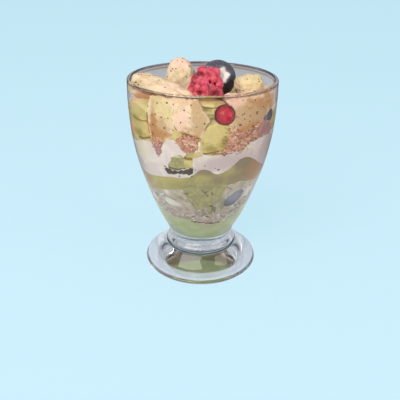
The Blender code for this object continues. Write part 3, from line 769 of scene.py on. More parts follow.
crease_depth = streaks_at(folded_points, CREASES)
folded_points[:, :2] *= (1 - CREASE_SHARE * crease_depth)[:, None]
set_points(folded, folded_points)
# Painted shade: the creases are darkened, besides drawing back from the glass.
paint(folded, "browned_and_shaded", crease_depth)
dab(folded, "warm", [
    (-66, 106, 9, 4, 1.4), (-75, 97, 5, 8, 0.6), (-72, 92, 8, 5, 0.9), (-45, 95, 4, 5, 0.7),
    (-96, 100, 16, 9, 1), (88, 100, 16, 9, 1)])
# Painted highlights on the crowns of the folds, on the side towards the lamp.
dab(folded, "light", [
    (-57, 104, 7, 3, 1.0), (-69, 100, 5, 6, 1.2), (-52, 94.5, 6, 2, 0.9), (6.5, 95.5, 4, 4, 1.1),
    (6, 110.8, 7, 0.9, 0.15), (7.5, 107.3, 6, 0.8, 0.9), (12, 101.5, 4, 1.6, 0.8), (100, 104, 10, 4, 0.8),
    (-110, 104, 10, 4, 0.8)])
dab(folded, "shadowed", [
    (-56, 90.5, 9, 2.4, 0.9), (6, 88, 7, 2.4, 0.9), (17, 91, 4, 4, 0.9), (9, 104, 5, 1.2, 0.8),
    (3, 108.2, 6, 1.3, 1.0), (5, 112, 6, 1.4, 0.55), (2.5, 98, 2, 4, 0.7), (-60, 98.6, 9, 1.2, 0.6),
    (6, 106.6, 6, 0.8, 0.6), (90, 93, 14, 3, 0.7), (-130, 94, 14, 3, 0.7)])

# %% Press the currant's hollow into it
# The currant lies against the glass, in a hollow that it pressed into the custard and the biscuit.
CURRANT_AT = (18.9, 34.3, 103.8)
CURRANT_RADIUS = 5.3
HOLLOW_RADIUS = 5.1
HOLLOW_MOUTH = (-2.5, 17)  # the azimuth and the rise in degrees that the hollow opens to


def towards(azimuth, rise):
    """A direction, from degrees round from the front and degrees up."""
    turn, rise = math.radians(azimuth), math.radians(rise)
    return Vector((math.sin(turn) * math.cos(rise), -math.cos(turn) * math.cos(rise), math.sin(rise)))


def hollow_for_currant(obj):
    """Draws a piece back where the currant is pushed into it from the side that the hollow opens to."""
    points = points_of(obj)
    outward = np.array(towards(*HOLLOW_MOUTH))
    offset = points - np.array(around(*CURRANT_AT))
    along = offset @ outward
    aside = np.linalg.norm(offset - along[:, None] * outward, axis=1)
    room = HOLLOW_RADIUS * MM
    back = -np.sqrt(np.maximum(room**2 - aside**2, 0.0))
    too_far = np.where((aside < room) & (along > back), along - back, 0.0)
    set_points(obj, points - too_far[:, None] * outward)


hollow_for_currant(folded)
serve(folded, "folded_custard", yellow_custard, "yellow_custard", "top_custard")

# %% [markdown]
# ## Biscuits, sponge and crust
#
# A broken biscuit has flat faces and round corners. Those that lie free are cubes, rounded in edit mode
# towards a ball, smoothed by subdivision, then given large soft dents and small pores. Those pressed to
# the glass start as their outline on the wall, extruded inward, melted soft and bent round. The seeds
# baked into them are a piece of their own, made last.

# %% Make one chunk
def dent(obj, dents, pores, seed, dent_size=6.0, pore_size=1.4):
    """Large soft dents, then small pores."""
    displaced(obj, dent_size, dents * 2, detail=1, seed=seed)
    displaced(obj, pore_size, pores * 2, detail=3, seed=seed + 5)


def chunk(azimuth, distance, height, size, turns, seed, roundness=0.35, dents=1.6, pores=0.5):
    """A rounded block with dents and pores, set down at its place. Sizes are millimetres, turns degrees."""
    bpy.ops.mesh.primitive_cube_add(size=1)
    block = bpy.context.object
    bpy.ops.object.mode_set(mode="EDIT")
    bpy.ops.mesh.subdivide(number_cuts=4)
    bpy.ops.transform.tosphere(value=roundness)
    bpy.ops.object.mode_set(mode="OBJECT")
    block.scale = [side * 1.04 * MM for side in size]  # a little larger, as the rounding draws the corners in
    settle(block)
    modify(block, "SUBSURF", levels=3, render_levels=3)
    dent(block, dents, pores, seed, dent_size=7.0, pore_size=1.5)
    tip, roll, yaw = (math.radians(turn) for turn in turns)
    block.rotation_euler = (tip, roll, yaw + math.radians(azimuth))
    block.location = around(azimuth, distance, height)
    return settle(block)


def round_top(obj, start, top):
    """Rounds off what lies above start, up to top, like the end of a finger. Heights are millimetres."""
    points = points_of(obj)
    share = np.clip((points[:, 2] / MM - start) / (points[:, 2].max() / MM - start), 0, 1)
    middle = points[share > 0, :2].mean(axis=0)
    points[:, :2] = middle + (points[:, :2] - middle) * np.sqrt(1 - 0.78 * share**2)[:, None]
    points[:, 2] = np.where(share > 0, (start + share * (top - start)) * MM, points[:, 2])
    set_points(obj, points)


# %% Mould a piece to an outline on the wall
WALL_SPREAD = 38.0  # radius, in millimetres, at which the outlines are laid out flat
MM_PER_DEGREE = 0.66  # along the wall at that radius
BACK_SHARE = 0.75  # size of a slab's back against its front


def torn(outline, seed, size):
    """An outline with points added every millimetre, each moved a little, as the edge of something broken."""
    draw = random.Random(seed)
    line = []
    for (a, b), (c, d) in zip(outline, outline[1:] + outline[:1]):
        steps = max(1, round(math.hypot((c - a) * MM_PER_DEGREE, d - b)))
        for i in range(steps):
            azimuth = a + (c - a) * i / steps + draw.uniform(-size, size)
            line.append((azimuth, b + (d - b) * i / steps + draw.uniform(-size, size)))
    return line


def mould(outline, depth, seed, melt=5, swell=0.4, dents=0.8, pores=0.35, voxel=0.45, ragged=0.3):
    """A slab with an outline of (azimuth, height) at the wall, depth millimetres deep, narrower behind, then
    dented, pored and bent round the glass."""
    outline = torn(outline, seed, ragged)
    bpy.ops.mesh.primitive_circle_add(vertices=len(outline), radius=1, fill_type="NGON")
    slab = bpy.context.object
    flat = np.array([(math.radians(a) * WALL_SPREAD, 0.0, h) for a, h in outline]) * MM
    set_points(slab, flat)
    back_middle = tuple(flat.mean(axis=0) + [0, depth * MM, 0])
    bpy.ops.object.mode_set(mode="EDIT")
    bpy.ops.mesh.select_all(action="SELECT")
    bpy.ops.mesh.extrude_region_move(TRANSFORM_OT_translate={"value": (0, depth * MM, 0)})
    bpy.ops.transform.resize(value=(BACK_SHARE, 1, BACK_SHARE), center_override=back_middle)
    bpy.ops.mesh.select_all(action="SELECT")
    bpy.ops.mesh.normals_make_consistent(inside=False)
    bpy.ops.object.mode_set(mode="OBJECT")
    melt_together(slab, voxel, melt)
    modify(slab, "DISPLACE", strength=swell * MM, mid_level=0.0)
    dent(slab, dents, pores, seed)
    points = points_of(slab)
    turn = points[:, 0] / (WALL_SPREAD * MM)
    reach = wall_at(points[:, 2]) - points[:, 1]
    set_points(slab, np.stack([reach * np.sin(turn), -reach * np.cos(turn), points[:, 2]], axis=1))
    return slab


# %% Where the biscuits lie
# Outlines at the wall for those seen through the front; the others are chunks at a place.
BISCUIT_OUTLINES = {
    "biscuit_front_left": [
        (-40.1, 112.4), (-41.1, 109.6), (-42.4, 104.9), (-41.9, 100.8), (-41.6, 96.6), (-40.3, 92.4),
        (-36.7, 90.5), (-33.0, 90.0), (-28.4, 91.2), (-24.8, 92.7), (-22.0, 94.9), (-20.3, 96.9),
        (-19.8, 99.3), (-20.3, 102.9), (-20.3, 107.4), (-20.0, 112.9), (-30, 113.4)],
    "biscuit_front": [
        (-20.4, 113.4), (-20.2, 109.9), (-20.3, 104.9), (-19.9, 100.4), (-18.9, 96.8), (-16.0, 95.4),
        (-11.5, 94.4), (-6.4, 93.5), (-1.4, 93.1), (0.0, 94.5), (0.3, 97.7), (2.4, 100.3), (4.6, 102.9),
        (2.6, 105.9), (0.5, 108.3), (-1.6, 110.7), (-3.0, 113.2), (-12, 113.8)],
    "biscuit_front_right": [
        (15.8, 112.9), (18.6, 110.8), (22.0, 107.6), (22.6, 104.6), (21.3, 101.2), (20.4, 98.4), (22.0, 96.7),
        (25.0, 97.6), (28.4, 96.6), (31.3, 94.7), (35.0, 94.3), (37.6, 95.7), (40.3, 97.0), (44.2, 98.0),
        (48.7, 99.4), (53, 101.2), (58.4, 102.7), (66, 104), (66, 110.5), (57, 112.2), (47, 113.0),
        (35, 113.4), (24, 113.4)],
}
# Azimuth, distance, height, size, turns.
BISCUITS = {
    "biscuit_standing": (-103, 13, 111.8, (13.4, 12.6, 23), (-4, 3, 99)),
    "biscuit_long": (-49, 27.4, 110.6, (34, 12, 10.5), (0, 12, 18)),
    "biscuit_right": (69, 26.8, 110.6, (12, 12.5, 13), (6, -8, -60)),
    "biscuit_far_right": (83, 33.6, 105, (14, 11, 12), (0, 6, 0)),
    "biscuit_back_right": (112, 32.5, 94.6, (18, 13, 14), (0, 9, 0)),
    "biscuit_back": (176, 32.8, 94.2, (20, 13, 12.5), (0, -7, 0)),
    "biscuit_back_left": (-116, 32.8, 94.6, (17, 13, 15), (0, 10, 0)),
}
ROUNDNESS = {"biscuit_standing": 0.62, "biscuit_right": 0.55, "biscuit_long": 0.4}
print("biscuits:", len(BISCUIT_OUTLINES) + len(BISCUITS))

# %% How the biscuits are baked, and their painted shade
# Patches of (azimuth, height, half width, half height, strength) for each tone.
# The brown patches low on each biscuit are baked colour and painted shade under it; the thin dark lines along
# lower edges are painted shade in the crevices there. On the standing and the right biscuit the tones darken
# from the top down, as painted light and shade.
BAKED = {
    "biscuit_front_left": {
        "straw": [(-33, 107, 7, 7, 1.3), (-24, 104, 4, 6, 0.9)],
        "tan": [(-38, 107, 3, 5, 0.8), (-29, 96, 9, 3.5, 1.0), (-31, 101, 4, 3, 0.7)],
        "browned_and_shaded": [(-37.5, 100, 4, 5, 1.1), (-38.5, 94.5, 3, 3, 1.1), (-33, 93, 6, 3, 0.9),
                    (-26, 94.2, 5, 1.6, 0.7)],
        "rosy": [(-27.3, 100.8, 4, 3, 1.1), (-24, 97, 3, 2.5, 0.7)],
        "burnt_and_crevice_shade": [(-40.6, 92.6, 2.0, 1.3, 1.2), (-41.6, 97, 0.8, 2.5, 0.7), (-34, 90.4, 4, 0.6, 0.8),
                  (-38.6, 103, 1.2, 0.8, 0.7)]},
    "biscuit_front": {
        "rosy": [(-13, 104, 5, 5, 0.9), (-17.5, 100.5, 3, 3, 0.7), (-16, 96.8, 4, 1.4, 0.6)],
        "tan": [(-4.0, 108, 5, 6, 1.1), (-0.5, 102.5, 4.5, 4, 1.1), (-3, 97, 4, 3, 1.0),
                (-11, 98.2, 5, 1.6, 0.7)],
        "browned_and_shaded": [(-14, 95.9, 5, 1.1, 1.0), (-6, 94.6, 5, 1.0, 0.9), (1.8, 99, 1.6, 3, 0.5)],
        "burnt_and_crevice_shade": [(-12.0, 95.5, 2.8, 0.55, 1.2), (-8.0, 94.6, 2.0, 0.5, 1.1), (-3.0, 93.5, 2.6, 0.5, 1.1),
                  (-19, 97.2, 1.2, 0.8, 0.9)]},
    "biscuit_front_right": {
        "rosy": [(21, 110, 6, 4, 1.3), (27, 111.5, 6, 2.4, 1.1)],
        "tan": [(34, 102.5, 12, 7, 1.4), (42, 101, 9, 4, 1.1), (28, 105.5, 5, 3, 0.6), (50, 105, 8, 5, 0.9)],
        "browned_and_shaded": [(43, 108.6, 11, 3.6, 0.55), (58, 107.6, 10, 5.5, 0.7), (31, 96.4, 8, 2.2, 0.9),
                    (42, 98.8, 8, 1.8, 0.8), (36, 111.4, 5, 1.6, 0.5)],
        "burnt_and_crevice_shade": [(28.1, 99.5, 1.8, 0.7, 0.9), (33.4, 94.8, 3, 0.7, 1.1), (42.9, 104.0, 1.4, 1.0, 0.7),
                  (41, 97.4, 3, 0.7, 1.0), (37, 95.6, 2, 0.7, 1.0)]},
    "biscuit_standing": {
        "rosy": [(-60, 122.5, 180, 2.6, 0.9)], "straw": [(-60, 116, 180, 4, 0.45)],
        "tan": [(-45, 112, 14, 4, 0.6)], "browned_and_shaded": [(-30, 107, 16, 3, 0.7)]},
    "biscuit_long": {
        "straw": [(-76, 114, 14, 5, 1.3)],
        "browned_and_shaded": [(-52, 109.2, 16, 2.2, 1.4), (-40, 107.5, 10, 1.8, 0.9)],
        "rosy": [(-36, 114, 12, 3, 0.6), (-62, 112, 8, 2, 0.5)], "burnt_and_crevice_shade": [(-46, 111.0, 7, 0.7, 0.8)]},
    "biscuit_right": {
        "straw": [(66, 116, 30, 4, 0.8)], "tan": [(78, 112, 12, 5, 0.9)],
        "browned_and_shaded": [(56, 105.5, 14, 2.2, 1)]},
    "biscuit_far_right": {"browned_and_shaded": [(76, 107.5, 16, 5, 0.7), (95, 102, 8, 4, 0.8)]},
    "biscuit_back_right": {"browned_and_shaded": [(112, 89.5, 14, 2.5, 1)], "rosy": [(108, 97, 8, 4, 1)]},
    "biscuit_back": {"browned_and_shaded": [(176, 89.5, 14, 2.5, 1)], "tan": [(168, 96, 7, 4, 1)]},
    "biscuit_back_left": {"browned_and_shaded": [(-116, 88.5, 14, 2.8, 1)], "rosy": [(-120, 97, 8, 4, 1)]},
}
BAKING_TONES = ("rosy", "straw", "tan", "browned_and_shaded", "burnt_and_crevice_shade")

# %% The biscuits
biscuit_pieces = {name: mould(outline, 13.0, seed=index + 1, dents=1.0, pores=0.45, melt=3, ragged=0.5)
                  for index, (name, outline) in enumerate(BISCUIT_OUTLINES.items())}
for index, (name, spec) in enumerate(BISCUITS.items()):
    biscuit_pieces[name] = chunk(*spec, seed=index + 4, roundness=ROUNDNESS.get(name, 0.35))
round_top(biscuit_pieces["biscuit_standing"], 115.5, 124.7)
for index, (name, piece) in enumerate(biscuit_pieces.items()):
    press(piece, CHUNK_PRESS + 0.01 * (index + 1), cling=2.0 if name in BISCUIT_OUTLINES else 0.9)
    hollow_for_currant(piece)
    for tone in BAKING_TONES:
        dab(piece, tone, BAKED[name].get(tone, []))
    serve(piece, f"{name}_baked", seeded_biscuit, "seeded_biscuit", name)

# %% Sponge
SPONGE_OUTLINES = {
    "sponge_front": [
        (-20.6, 63.2), (-17.1, 60.2), (-15.6, 57.5), (-12.8, 55.5), (-10.0, 52.0), (-5.8, 49.1), (2.4, 47.7),
        (8.4, 47.6), (12.5, 50.5), (16.1, 54.1), (19.5, 57.5), (23.5, 61.4), (25.7, 64.6), (10, 66),
        (-6, 66)],
    "sponge_front_right": [
        (5.6, 50.0), (8.6, 52.4), (13.3, 51.4), (16.5, 48.8), (18.1, 44.0), (12.1, 41.9), (6.3, 45.3)],
    "sponge_wedge": [
        (-28.2, 74.6), (-26.9, 77.9), (-23.9, 81.2), (-21.1, 82.7), (-17.7, 83.3), (-15.4, 82.1),
        (-14.1, 79.2), (-13.2, 76.2), (-19.9, 74.4), (-25.5, 74.0)],
}
SPONGES = {
    "sponge_left": (-92, 24.5, 55.6, (11, 8, 9), (0, 9, 0)),
    "sponge_back": (168, 24.5, 55.8, (12, 8, 9), (0, -9, 0)),
    "sponge_wedge_back": (150, 32.2, 79.6, (10, 8, 8), (0, -12, 0)),
}
# Cracks in the sponge, as lines on the wall, painted dark as the shade in them.
SPONGE_CRACKS = [
    ([(-19.5, 59.2), (-16, 59.0), (-13, 59.2)], 0.5, 1.1),
    ([(0.5, 62.4), (2, 61.4), (4, 60.2), (7, 57.6)], 0.45, 0.9),
    ([(3.5, 60.4), (6.5, 61.6)], 0.5, 0.6), ([(10.5, 60.5), (11.5, 58.8)], 0.6, 0.7),
    ([(10.2, 50.6), (12.4, 50.3)], 0.55, 1.2), ([(12.8, 49.6), (17, 48.8)], 0.35, 0.9),
    ([(13, 49), (12.8, 46.4)], 0.35, 1.0), ([(17, 48.4), (16.6, 46)], 0.35, 0.9),
    ([(-16, 57.4), (-10, 51.8), (-6, 49)], 0.4, 0.7), ([(-28, 75.2), (-20, 74.8), (-14, 75.8)], 0.5, 1.1)]
for index, sponge in enumerate([*SPONGE_OUTLINES, *SPONGES]):
    if sponge in SPONGE_OUTLINES:
        piece = mould(SPONGE_OUTLINES[sponge], 7.5, seed=index + 20, melt=3, dents=0.5, ragged=0.7)
    else:
        piece = chunk(*SPONGES[sponge], seed=index + 20, dents=1.2, pores=0.7)
    press(piece, CHUNK_PRESS + 0.01 * index, cling=1.6)
    dab(piece, "burnt_and_crevice_shade", [], SPONGE_CRACKS)
    dab(piece, "pale", [(-20, 82.6, 4, 0.7, 1.1)])
    serve(piece, f"{sponge}_crumb", green_sponge, "green_sponge", sponge)

# %% Crust and the yellow strand
CRUST_OUTLINE = [
    (-31.8, 74.1), (-29.2, 74.5), (-26.5, 73.6), (-21.9, 73.5), (-16.4, 74.1), (-12.9, 74.7), (-9.4, 76.2),
    (-6.5, 76.0), (-7.5, 74.1), (-9.8, 71.7), (-12.3, 72.5), (-18.5, 72.3), (-24.2, 71.7), (-28.3, 70.8),
    (-31.0, 71.7)]
STRAND_OUTLINE = [
    (-13.8, 82.2), (-11.3, 84.4), (-5.8, 85.5), (-0.6, 86.0), (0.6, 84.2), (-4.4, 83.3), (-7.5, 82.0),
    (-7.6, 79.6), (-8.6, 76.8), (-11.9, 76.0), (-13.4, 78.0), (-14.0, 80.4)]
crust = mould(CRUST_OUTLINE, 7.5, seed=31, melt=1, swell=0.2, dents=0.4, pores=0.6, voxel=0.35, ragged=0.6)
press(crust, CHUNK_PRESS + 0.07, cling=1.6)
serve(crust, "dark_crust_strip", dark_crust, "dark_crust", "dark_crust")
strand = mould(STRAND_OUTLINE, 6.0, seed=32, melt=2, swell=0.3, dents=0.3, pores=0.2, voxel=0.35)
press(strand, CHUNK_PRESS + 0.08, cling=1.6)
# Painted shade in the hollow of the strand's curl.
dab(strand, "browned_and_shaded", [], [([(-13.4, 82.4), (-11, 81.9), (-8, 82.0)], 0.8, 1.4)])
serve(strand, "yellow_strand", yellow_custard, "seeded_biscuit", "yellow_scrap")

# %% [markdown]
# ## Loose crumbs
#
# Toasted crumbs are hundreds of small broken lumps. Each is one small ball with few faces, stretched and
# turned at random. A copy per object would be slow, so the copies of one kind are built as one mesh.
# The seeds are made in the same way.

# %% Copy a small shape many times into one piece
def small_ball(cuts=1):
    bpy.ops.mesh.primitive_ico_sphere_add(subdivisions=cuts, radius=1)
    return bpy.context.object


def many(template, places):
    """One mesh of many copies. Each place is (centre, (three half sizes), turn matrix), in metres."""
    shape = points_of(template)
    faces = np.array([list(face.vertices) for face in template.data.polygons])
    all_points = []
    all_faces = []
    for index, (centre, sizes, turn) in enumerate(places):
        all_points.append(shape * np.array(sizes) @ np.array(turn).T + np.array(centre))
        all_faces.append(faces + index * len(shape))
    merged = bpy.data.meshes.new("many")
    merged.from_pydata(np.concatenate(all_points).tolist(), [], np.concatenate(all_faces).tolist())
    piece = bpy.data.objects.new("many", merged)
    bpy.context.collection.objects.link(piece)
    bpy.data.objects.remove(template)
    return piece


def any_turn(draw):
    axis = Vector((draw.gauss(0, 1), draw.gauss(0, 1), draw.gauss(0, 1))).normalized()
    return Matrix.Rotation(draw.uniform(0, math.tau), 3, axis)


def roughen(obj, amount, seed):
    """Moves each point a little at random, so that small lumps look broken."""
    rng = np.random.default_rng(seed)
    points = points_of(obj)
    set_points(obj, points + rng.normal(0, amount * MM, points.shape))


def grain_place(azimuth, height, inward, draw, half):
    """A crumb lying along the wall, or inward millimetres from it."""
    reach = float(wall_at(height * MM)) / MM - inward
    sizes = (half * MM, half * draw.uniform(0.28, 0.65) * MM, half * draw.uniform(0.18, 0.4) * MM)
    return around(azimuth, reach, height), sizes, any_turn(draw)


def shade_grains(grains, count, draw):
    """Gives every crumb of a piece its own toast, and returns how deep each point is pressed."""
    per_grain = len(grains.data.vertices) // count
    toast_and_gap_shade = np.repeat([draw.random() for _ in range(count)], per_grain)
    paint(grains, "toast_and_gap_shade", 0.9 * np.clip(toast_and_gap_shade * 2.4 - 1.5, 0, 1))
    paint(grains, "pale", 0.9 * np.clip(0.9 - toast_and_gap_shade * 2.2, 0, 1))
    return np.repeat([draw.uniform(0.16, 0.34) for _ in range(count)], per_grain)


# %% Where the toasted crumbs are heaped
CRUMB_OUTLINES = {
    "crumbs_left": [
        (-16.1, 93.8), (-11.5, 94.4), (-6.5, 93.3), (-3.6, 91.7), (-3.6, 89.0), (-5.1, 86.7), (-8.9, 85.7),
        (-13.4, 86.8), (-16.4, 88.6), (-18.6, 90.3), (-17.7, 92.3)],
    "crumbs_tip": [
        (-40.7, 90.7), (-32.9, 90.8), (-31.2, 90.0), (-32.8, 86.4), (-34.7, 82.9), (-36.4, 82.0),
        (-38.4, 83.8), (-39.7, 86.4), (-41.3, 88.4)],
    "crumbs_right": [
        (21.2, 97.0), (25.1, 97.4), (29.4, 96.2), (33.4, 93.9), (37.7, 95.2), (43.4, 97.1), (50.3, 97.8),
        (59.0, 96.9), (66, 93.8), (66, 90.5), (60, 89.8), (52.4, 91.2), (46.6, 90.0), (39.2, 89.2),
        (34.8, 87.3), (31.7, 84.9), (26.9, 86.0), (21.9, 85.9), (17.6, 84.5), (16.4, 86.1), (20.0, 87.8),
        (18.6, 89.6), (19.6, 91.7), (20.9, 94.3)],
    "crumbs_back": [(-165, 88.5), (-161, 95), (-150, 97), (-139, 95.5), (-134, 91), (-140, 87.6),
                    (-152, 86.8)],
}
# A few flakes stray from their heap, as (azimuth, height, azimuth spread, height spread, how many).
STRAYS = {
    "crumbs_right": [(13, 85.2, 6, 0.7, 26), (31, 86.0, 8, 1.6, 24), (50, 91.5, 8, 1.2, 16),
                     (24, 98.0, 5, 0.8, 12)],
    "crumbs_left": [(-10, 86, 6, 1.4, 14), (-3, 92.5, 3, 1.2, 8)],
    "crumbs_tip": [(-36.5, 81.5, 2, 1.2, 6), (-41, 90, 3, 1.2, 8)],
    "crumbs_back": [(-150, 86, 10, 1.4, 16)],
}
CRUMBS_PER_SQUARE_MM = 4.0


def inside_outline(outline, azimuth, height):
    """Counts the outline's edges above a point: an odd count means that it lies inside."""
    inside = False
    for (a, b), (c, d) in zip(outline, outline[1:] + outline[:1]):
        if (a > azimuth) != (c > azimuth) and height < (d - b) * (azimuth - a) / (c - a) + b:
            inside = not inside
    return inside


# %% Heap up the toasted crumbs
def heaped_places(outline, draw):
    """Places for crumbs within an outline, most of them at the wall."""
    sides = [a for a, _ in outline]
    heights = [h for _, h in outline]
    area = (max(sides) - min(sides)) * MM_PER_DEGREE * (max(heights) - min(heights))
    places = []
    while len(places) < area * CRUMBS_PER_SQUARE_MM:
        azimuth = draw.uniform(min(sides) - 1, max(sides) + 1)
        height = draw.uniform(min(heights) - 0.6, max(heights) + 0.6)
        if not inside_outline(outline, azimuth + draw.uniform(-1, 1), height + draw.uniform(-0.6, 0.6)):
            continue
        inward = draw.choice((0.1, 0.3, 0.6)) if draw.random() < 0.75 else draw.uniform(0.8, 7)
        places.append(grain_place(azimuth, height, inward, draw, draw.choice((0.6, 0.8, 1.1, 1.5, 2.2))))
    return places


def stray_place(azimuth, height, spread, rise, draw):
    return grain_place(draw.gauss(azimuth, spread / 2), draw.gauss(height, rise / 2), 0.1, draw,
                       draw.choice((0.4, 0.6, 0.8, 1.1)))


for index, (heap_name, outline) in enumerate(CRUMB_OUTLINES.items()):
    draw = random.Random(40 + index)
    places = heaped_places(outline, draw)
    for *stray, count in STRAYS[heap_name]:
        places += [stray_place(*stray, draw) for _ in range(count)]
    grains = many(small_ball(2), places)
    roughen(grains, 0.12, index)
    press(grains, shade_grains(grains, len(places), draw), cling=0)
    core = mould(outline, 9.0, seed=50 + index, melt=3, dents=0.6, pores=0.5, ragged=0.7)
    press(core, CRUMB_PRESS + 0.004 * index, cling=0.8)
    # Painted shade: the core, seen in the gaps between the crumbs, is painted dark as the shade there.
    paint(core, "toast_and_gap_shade", np.full(len(core.data.vertices), 0.6))
    for part in (grains, core):
        dab(part, "mauve", [(58, 94, 10, 6, 1.1), (-37, 84, 6, 3, 0.9)])
    serve(join([grains, core]), f"{heap_name}_toasted", toasted_crumbs, "toasted_crumbs", heap_name)

# %% Soaked crumbs along the wall
def wall_crumbs(low_edge, high_edge, count, sizes, seed):
    """Crumbs against the wall between two edges, thinning out past both."""
    draw = random.Random(seed)
    places = []
    for _ in range(count):
        azimuth = draw.uniform(0, 360)
        low, high = (float(edge_height(edge, np.array([azimuth]))[0]) / MM for edge in (low_edge, high_edge))
        height = draw.triangular(low - 0.5, high + 1.5)
        places.append(grain_place(azimuth, height, draw.choice((0.05, 0.2, 0.4)), draw, draw.choice(sizes)))
    grains = many(small_ball(2), places)
    roughen(grains, 0.06, seed)
    press(grains, shade_grains(grains, count, draw), cling=0)
    return grains


wet_crumbs = food("wet crumbs", (0.50, 0.40, 0.32), (0.36, 0.28, 0.22), (0.22, 0.17, 0.11),
                  patch=1.5, grain=0.6, roughness=0.5, bump=0.3, pit=0.7,
                  painted={"toast_and_gap_shade": (0.15, 0.115, 0.07), "pale": (0.74, 0.68, 0.60)})
wet = wall_crumbs("base_custard", "lower_crumbs", 1100, (0.5, 0.7, 0.9, 1.2, 1.6), 61)
serve(wet, "soaked_crumbs_at_the_wall", wet_crumbs, "soaked_crumbs")

# %% Dark bits
# Bits that sank to the custard, and a few round the crust, as (azimuth, height).
DARK_BITS = [
    (-12, 38.6), (-9.5, 38.2), (-7, 38.3), (-4, 37.6), (-1.5, 37.8), (1, 37.3), (4.5, 37.4), (7, 36.8),
    (11, 37.0), (14, 36.6), (17, 36.9), (20, 36.4), (23, 36.9), (26.5, 36.9), (13, 44.5), (12.6, 46),
    (16.6, 45.6), (14, 48), (-32.4, 73.4), (-31.6, 75.2), (-5.6, 75.3), (-7.4, 77), (-8.4, 71.2), (-19, 70.9),
    (11, 76.4), (14, 75.2), (3, 78), (18.4, 84.2), (28, 83.7), (-150, 40), (-140, 40.6), (160, 40.4),
    (120, 41), (95, 43)]
draw = random.Random(63)
bits = many(small_ball(2), [
    grain_place(azimuth + draw.uniform(-0.5, 0.5), height + draw.uniform(-0.2, 0.2), 0.0, draw,
                draw.choice((0.7, 0.9, 1.3))) for azimuth, height in DARK_BITS])
roughen(bits, 0.06, 63)
press(bits, BIT_PRESS, cling=0)
serve(bits, "dark_bits_at_the_wall", dark_crust, "dark_crust")

# %% [markdown]
# ## Fruit
#
# A blueberry ends in a crown: the dried base of its flower, five short lobes round a hollow. A raspberry
# is a cluster of drupelets over a core, each with its own shine, with darker gaps between them.
# A redcurrant is a taut glossy ball with a brown tip. The berries are balls whose points are moved by a
# formula round the pole, and the drupelets are small balls melted into one skin.

# %% A ball to shape round its pole
def ball_with_pole(segments, rings):
    """A unit ball, its points, and for each point the degrees from the top and the turn round it."""
    bpy.ops.mesh.primitive_uv_sphere_add(segments=segments, ring_count=rings, radius=1)
    ball = bpy.context.object
    points = points_of(ball)
    off_axis = np.degrees(np.arccos(np.clip(points[:, 2], -1, 1)))
    return ball, points, off_axis, np.arctan2(points[:, 1], points[:, 0])


# %% Blueberries
# Azimuth, distance, height, radius, and where the crown points (azimuth, rise).
BLUEBERRIES = {
    "blueberry_top": (90, 8.3, 114.2, 9.9, (13, 24)),
    "blueberry_side": (61, 33.6, 100.6, 6.2, (150, 20)),
    "blueberry_back": (146, 33, 95.4, 6.8, (-170, 50)),
    "blueberry_low": (41.0, 21.9, 57.0, 8.3, (-90, 30)),
    "blueberry_low_back": (-142, 20.8, 54.6, 7.6, (60, 30)),
}
LOBES = 5
WRINKLES = 13


def blueberry(azimuth, distance, height, radius, aim):
    """A ball with a lobed crown that points to aim, an azimuth and a rise in degrees."""
    berry, points, off_axis, spin = ball_with_pole(80, 56)
    lobes = 0.5 + 0.5 * np.cos(LOBES * spin)
    ring = np.exp(-(((off_axis - 25) / 6) ** 2)) * (0.05 + 0.10 * lobes)
    hollow = 0.20 / (1 + np.exp((off_axis - 17) / 2.2))
    wrinkled = np.exp(-(((off_axis - 40) / 14) ** 2))
    wrinkles = 0.006 * np.cos(WRINKLES * spin + 2 * np.sin(3 * spin)) * wrinkled
    points *= (1 + ring - hollow + wrinkles)[:, None]
    points[:, 2] *= 0.93  # a blueberry is a little flattened
    set_points(berry, points)
    paint(berry, "crown", 1 / (1 + np.exp((off_axis - 20 - 3 * lobes) / 1.5)))
    paint(berry, "crown_hollow", 1 / (1 + np.exp((off_axis - 12.5) / 2.0)))
    berry.scale = (radius * MM,) * 3
    berry.rotation_mode = "QUATERNION"
    berry.rotation_quaternion = towards(*aim).to_track_quat("Z", "Y")
    berry.location = around(azimuth, distance, height)
    return settle(berry)


def slant(berry, azimuth, distance, height):
    """Squashes a berry so that it lies long from lower left to upper right, as the layers press it."""
    centre = around(azimuth, distance, height)
    turn = Matrix.Rotation(math.radians(azimuth), 4, "Z") @ Matrix.Rotation(math.radians(-56), 4, "Y")
    squash = turn @ Matrix.Diagonal((1.24, 0.95, 0.80, 1)) @ turn.inverted()
    berry.data.transform(Matrix.Translation(centre) @ squash @ Matrix.Translation(-centre))


blueberry_skin = food(
    "blueberry skin", (0.100, 0.098, 0.130), (0.048, 0.044, 0.066), (0.20, 0.20, 0.24),
    patch=5, grain=1.2, roughness=0.42, bump=0.06,
    painted={"bloom": (0.25, 0.25, 0.31), "stain": (0.22, 0.27, 0.22), "crown": (0.90, 0.89, 0.86),
             "crown_hollow": (0.40, 0.43, 0.38)})
for index, (fruit, spec) in enumerate(BLUEBERRIES.items()):
    azimuth, distance, height = spec[:3]
    berry = blueberry(*spec)
    low_down = fruit.startswith("blueberry_low")
    if low_down:
        slant(berry, azimuth, distance, height)
    press(berry, FRUIT_PRESS + 0.015 * index, cling=0.6)
    dab(berry, "bloom", [(azimuth - 4, height - 1, 12, 6, 1.1 if low_down else 0.0), (30, 121, 14, 4, 0.6)])
    dab(berry, "stain", [(42, 60.5, 8, 2.6, 1.0)])
    serve(berry, f"{fruit}_fruit", blueberry_skin, "blueberry_skin", fruit)

# %% The raspberry's form
RASPBERRY_AT = (3, 19, 107.6)
RASPBERRY_HEIGHT = 16.4
RASPBERRY_RADIUS = 8.7
RASPBERRY_LEAN = (-4, 9)
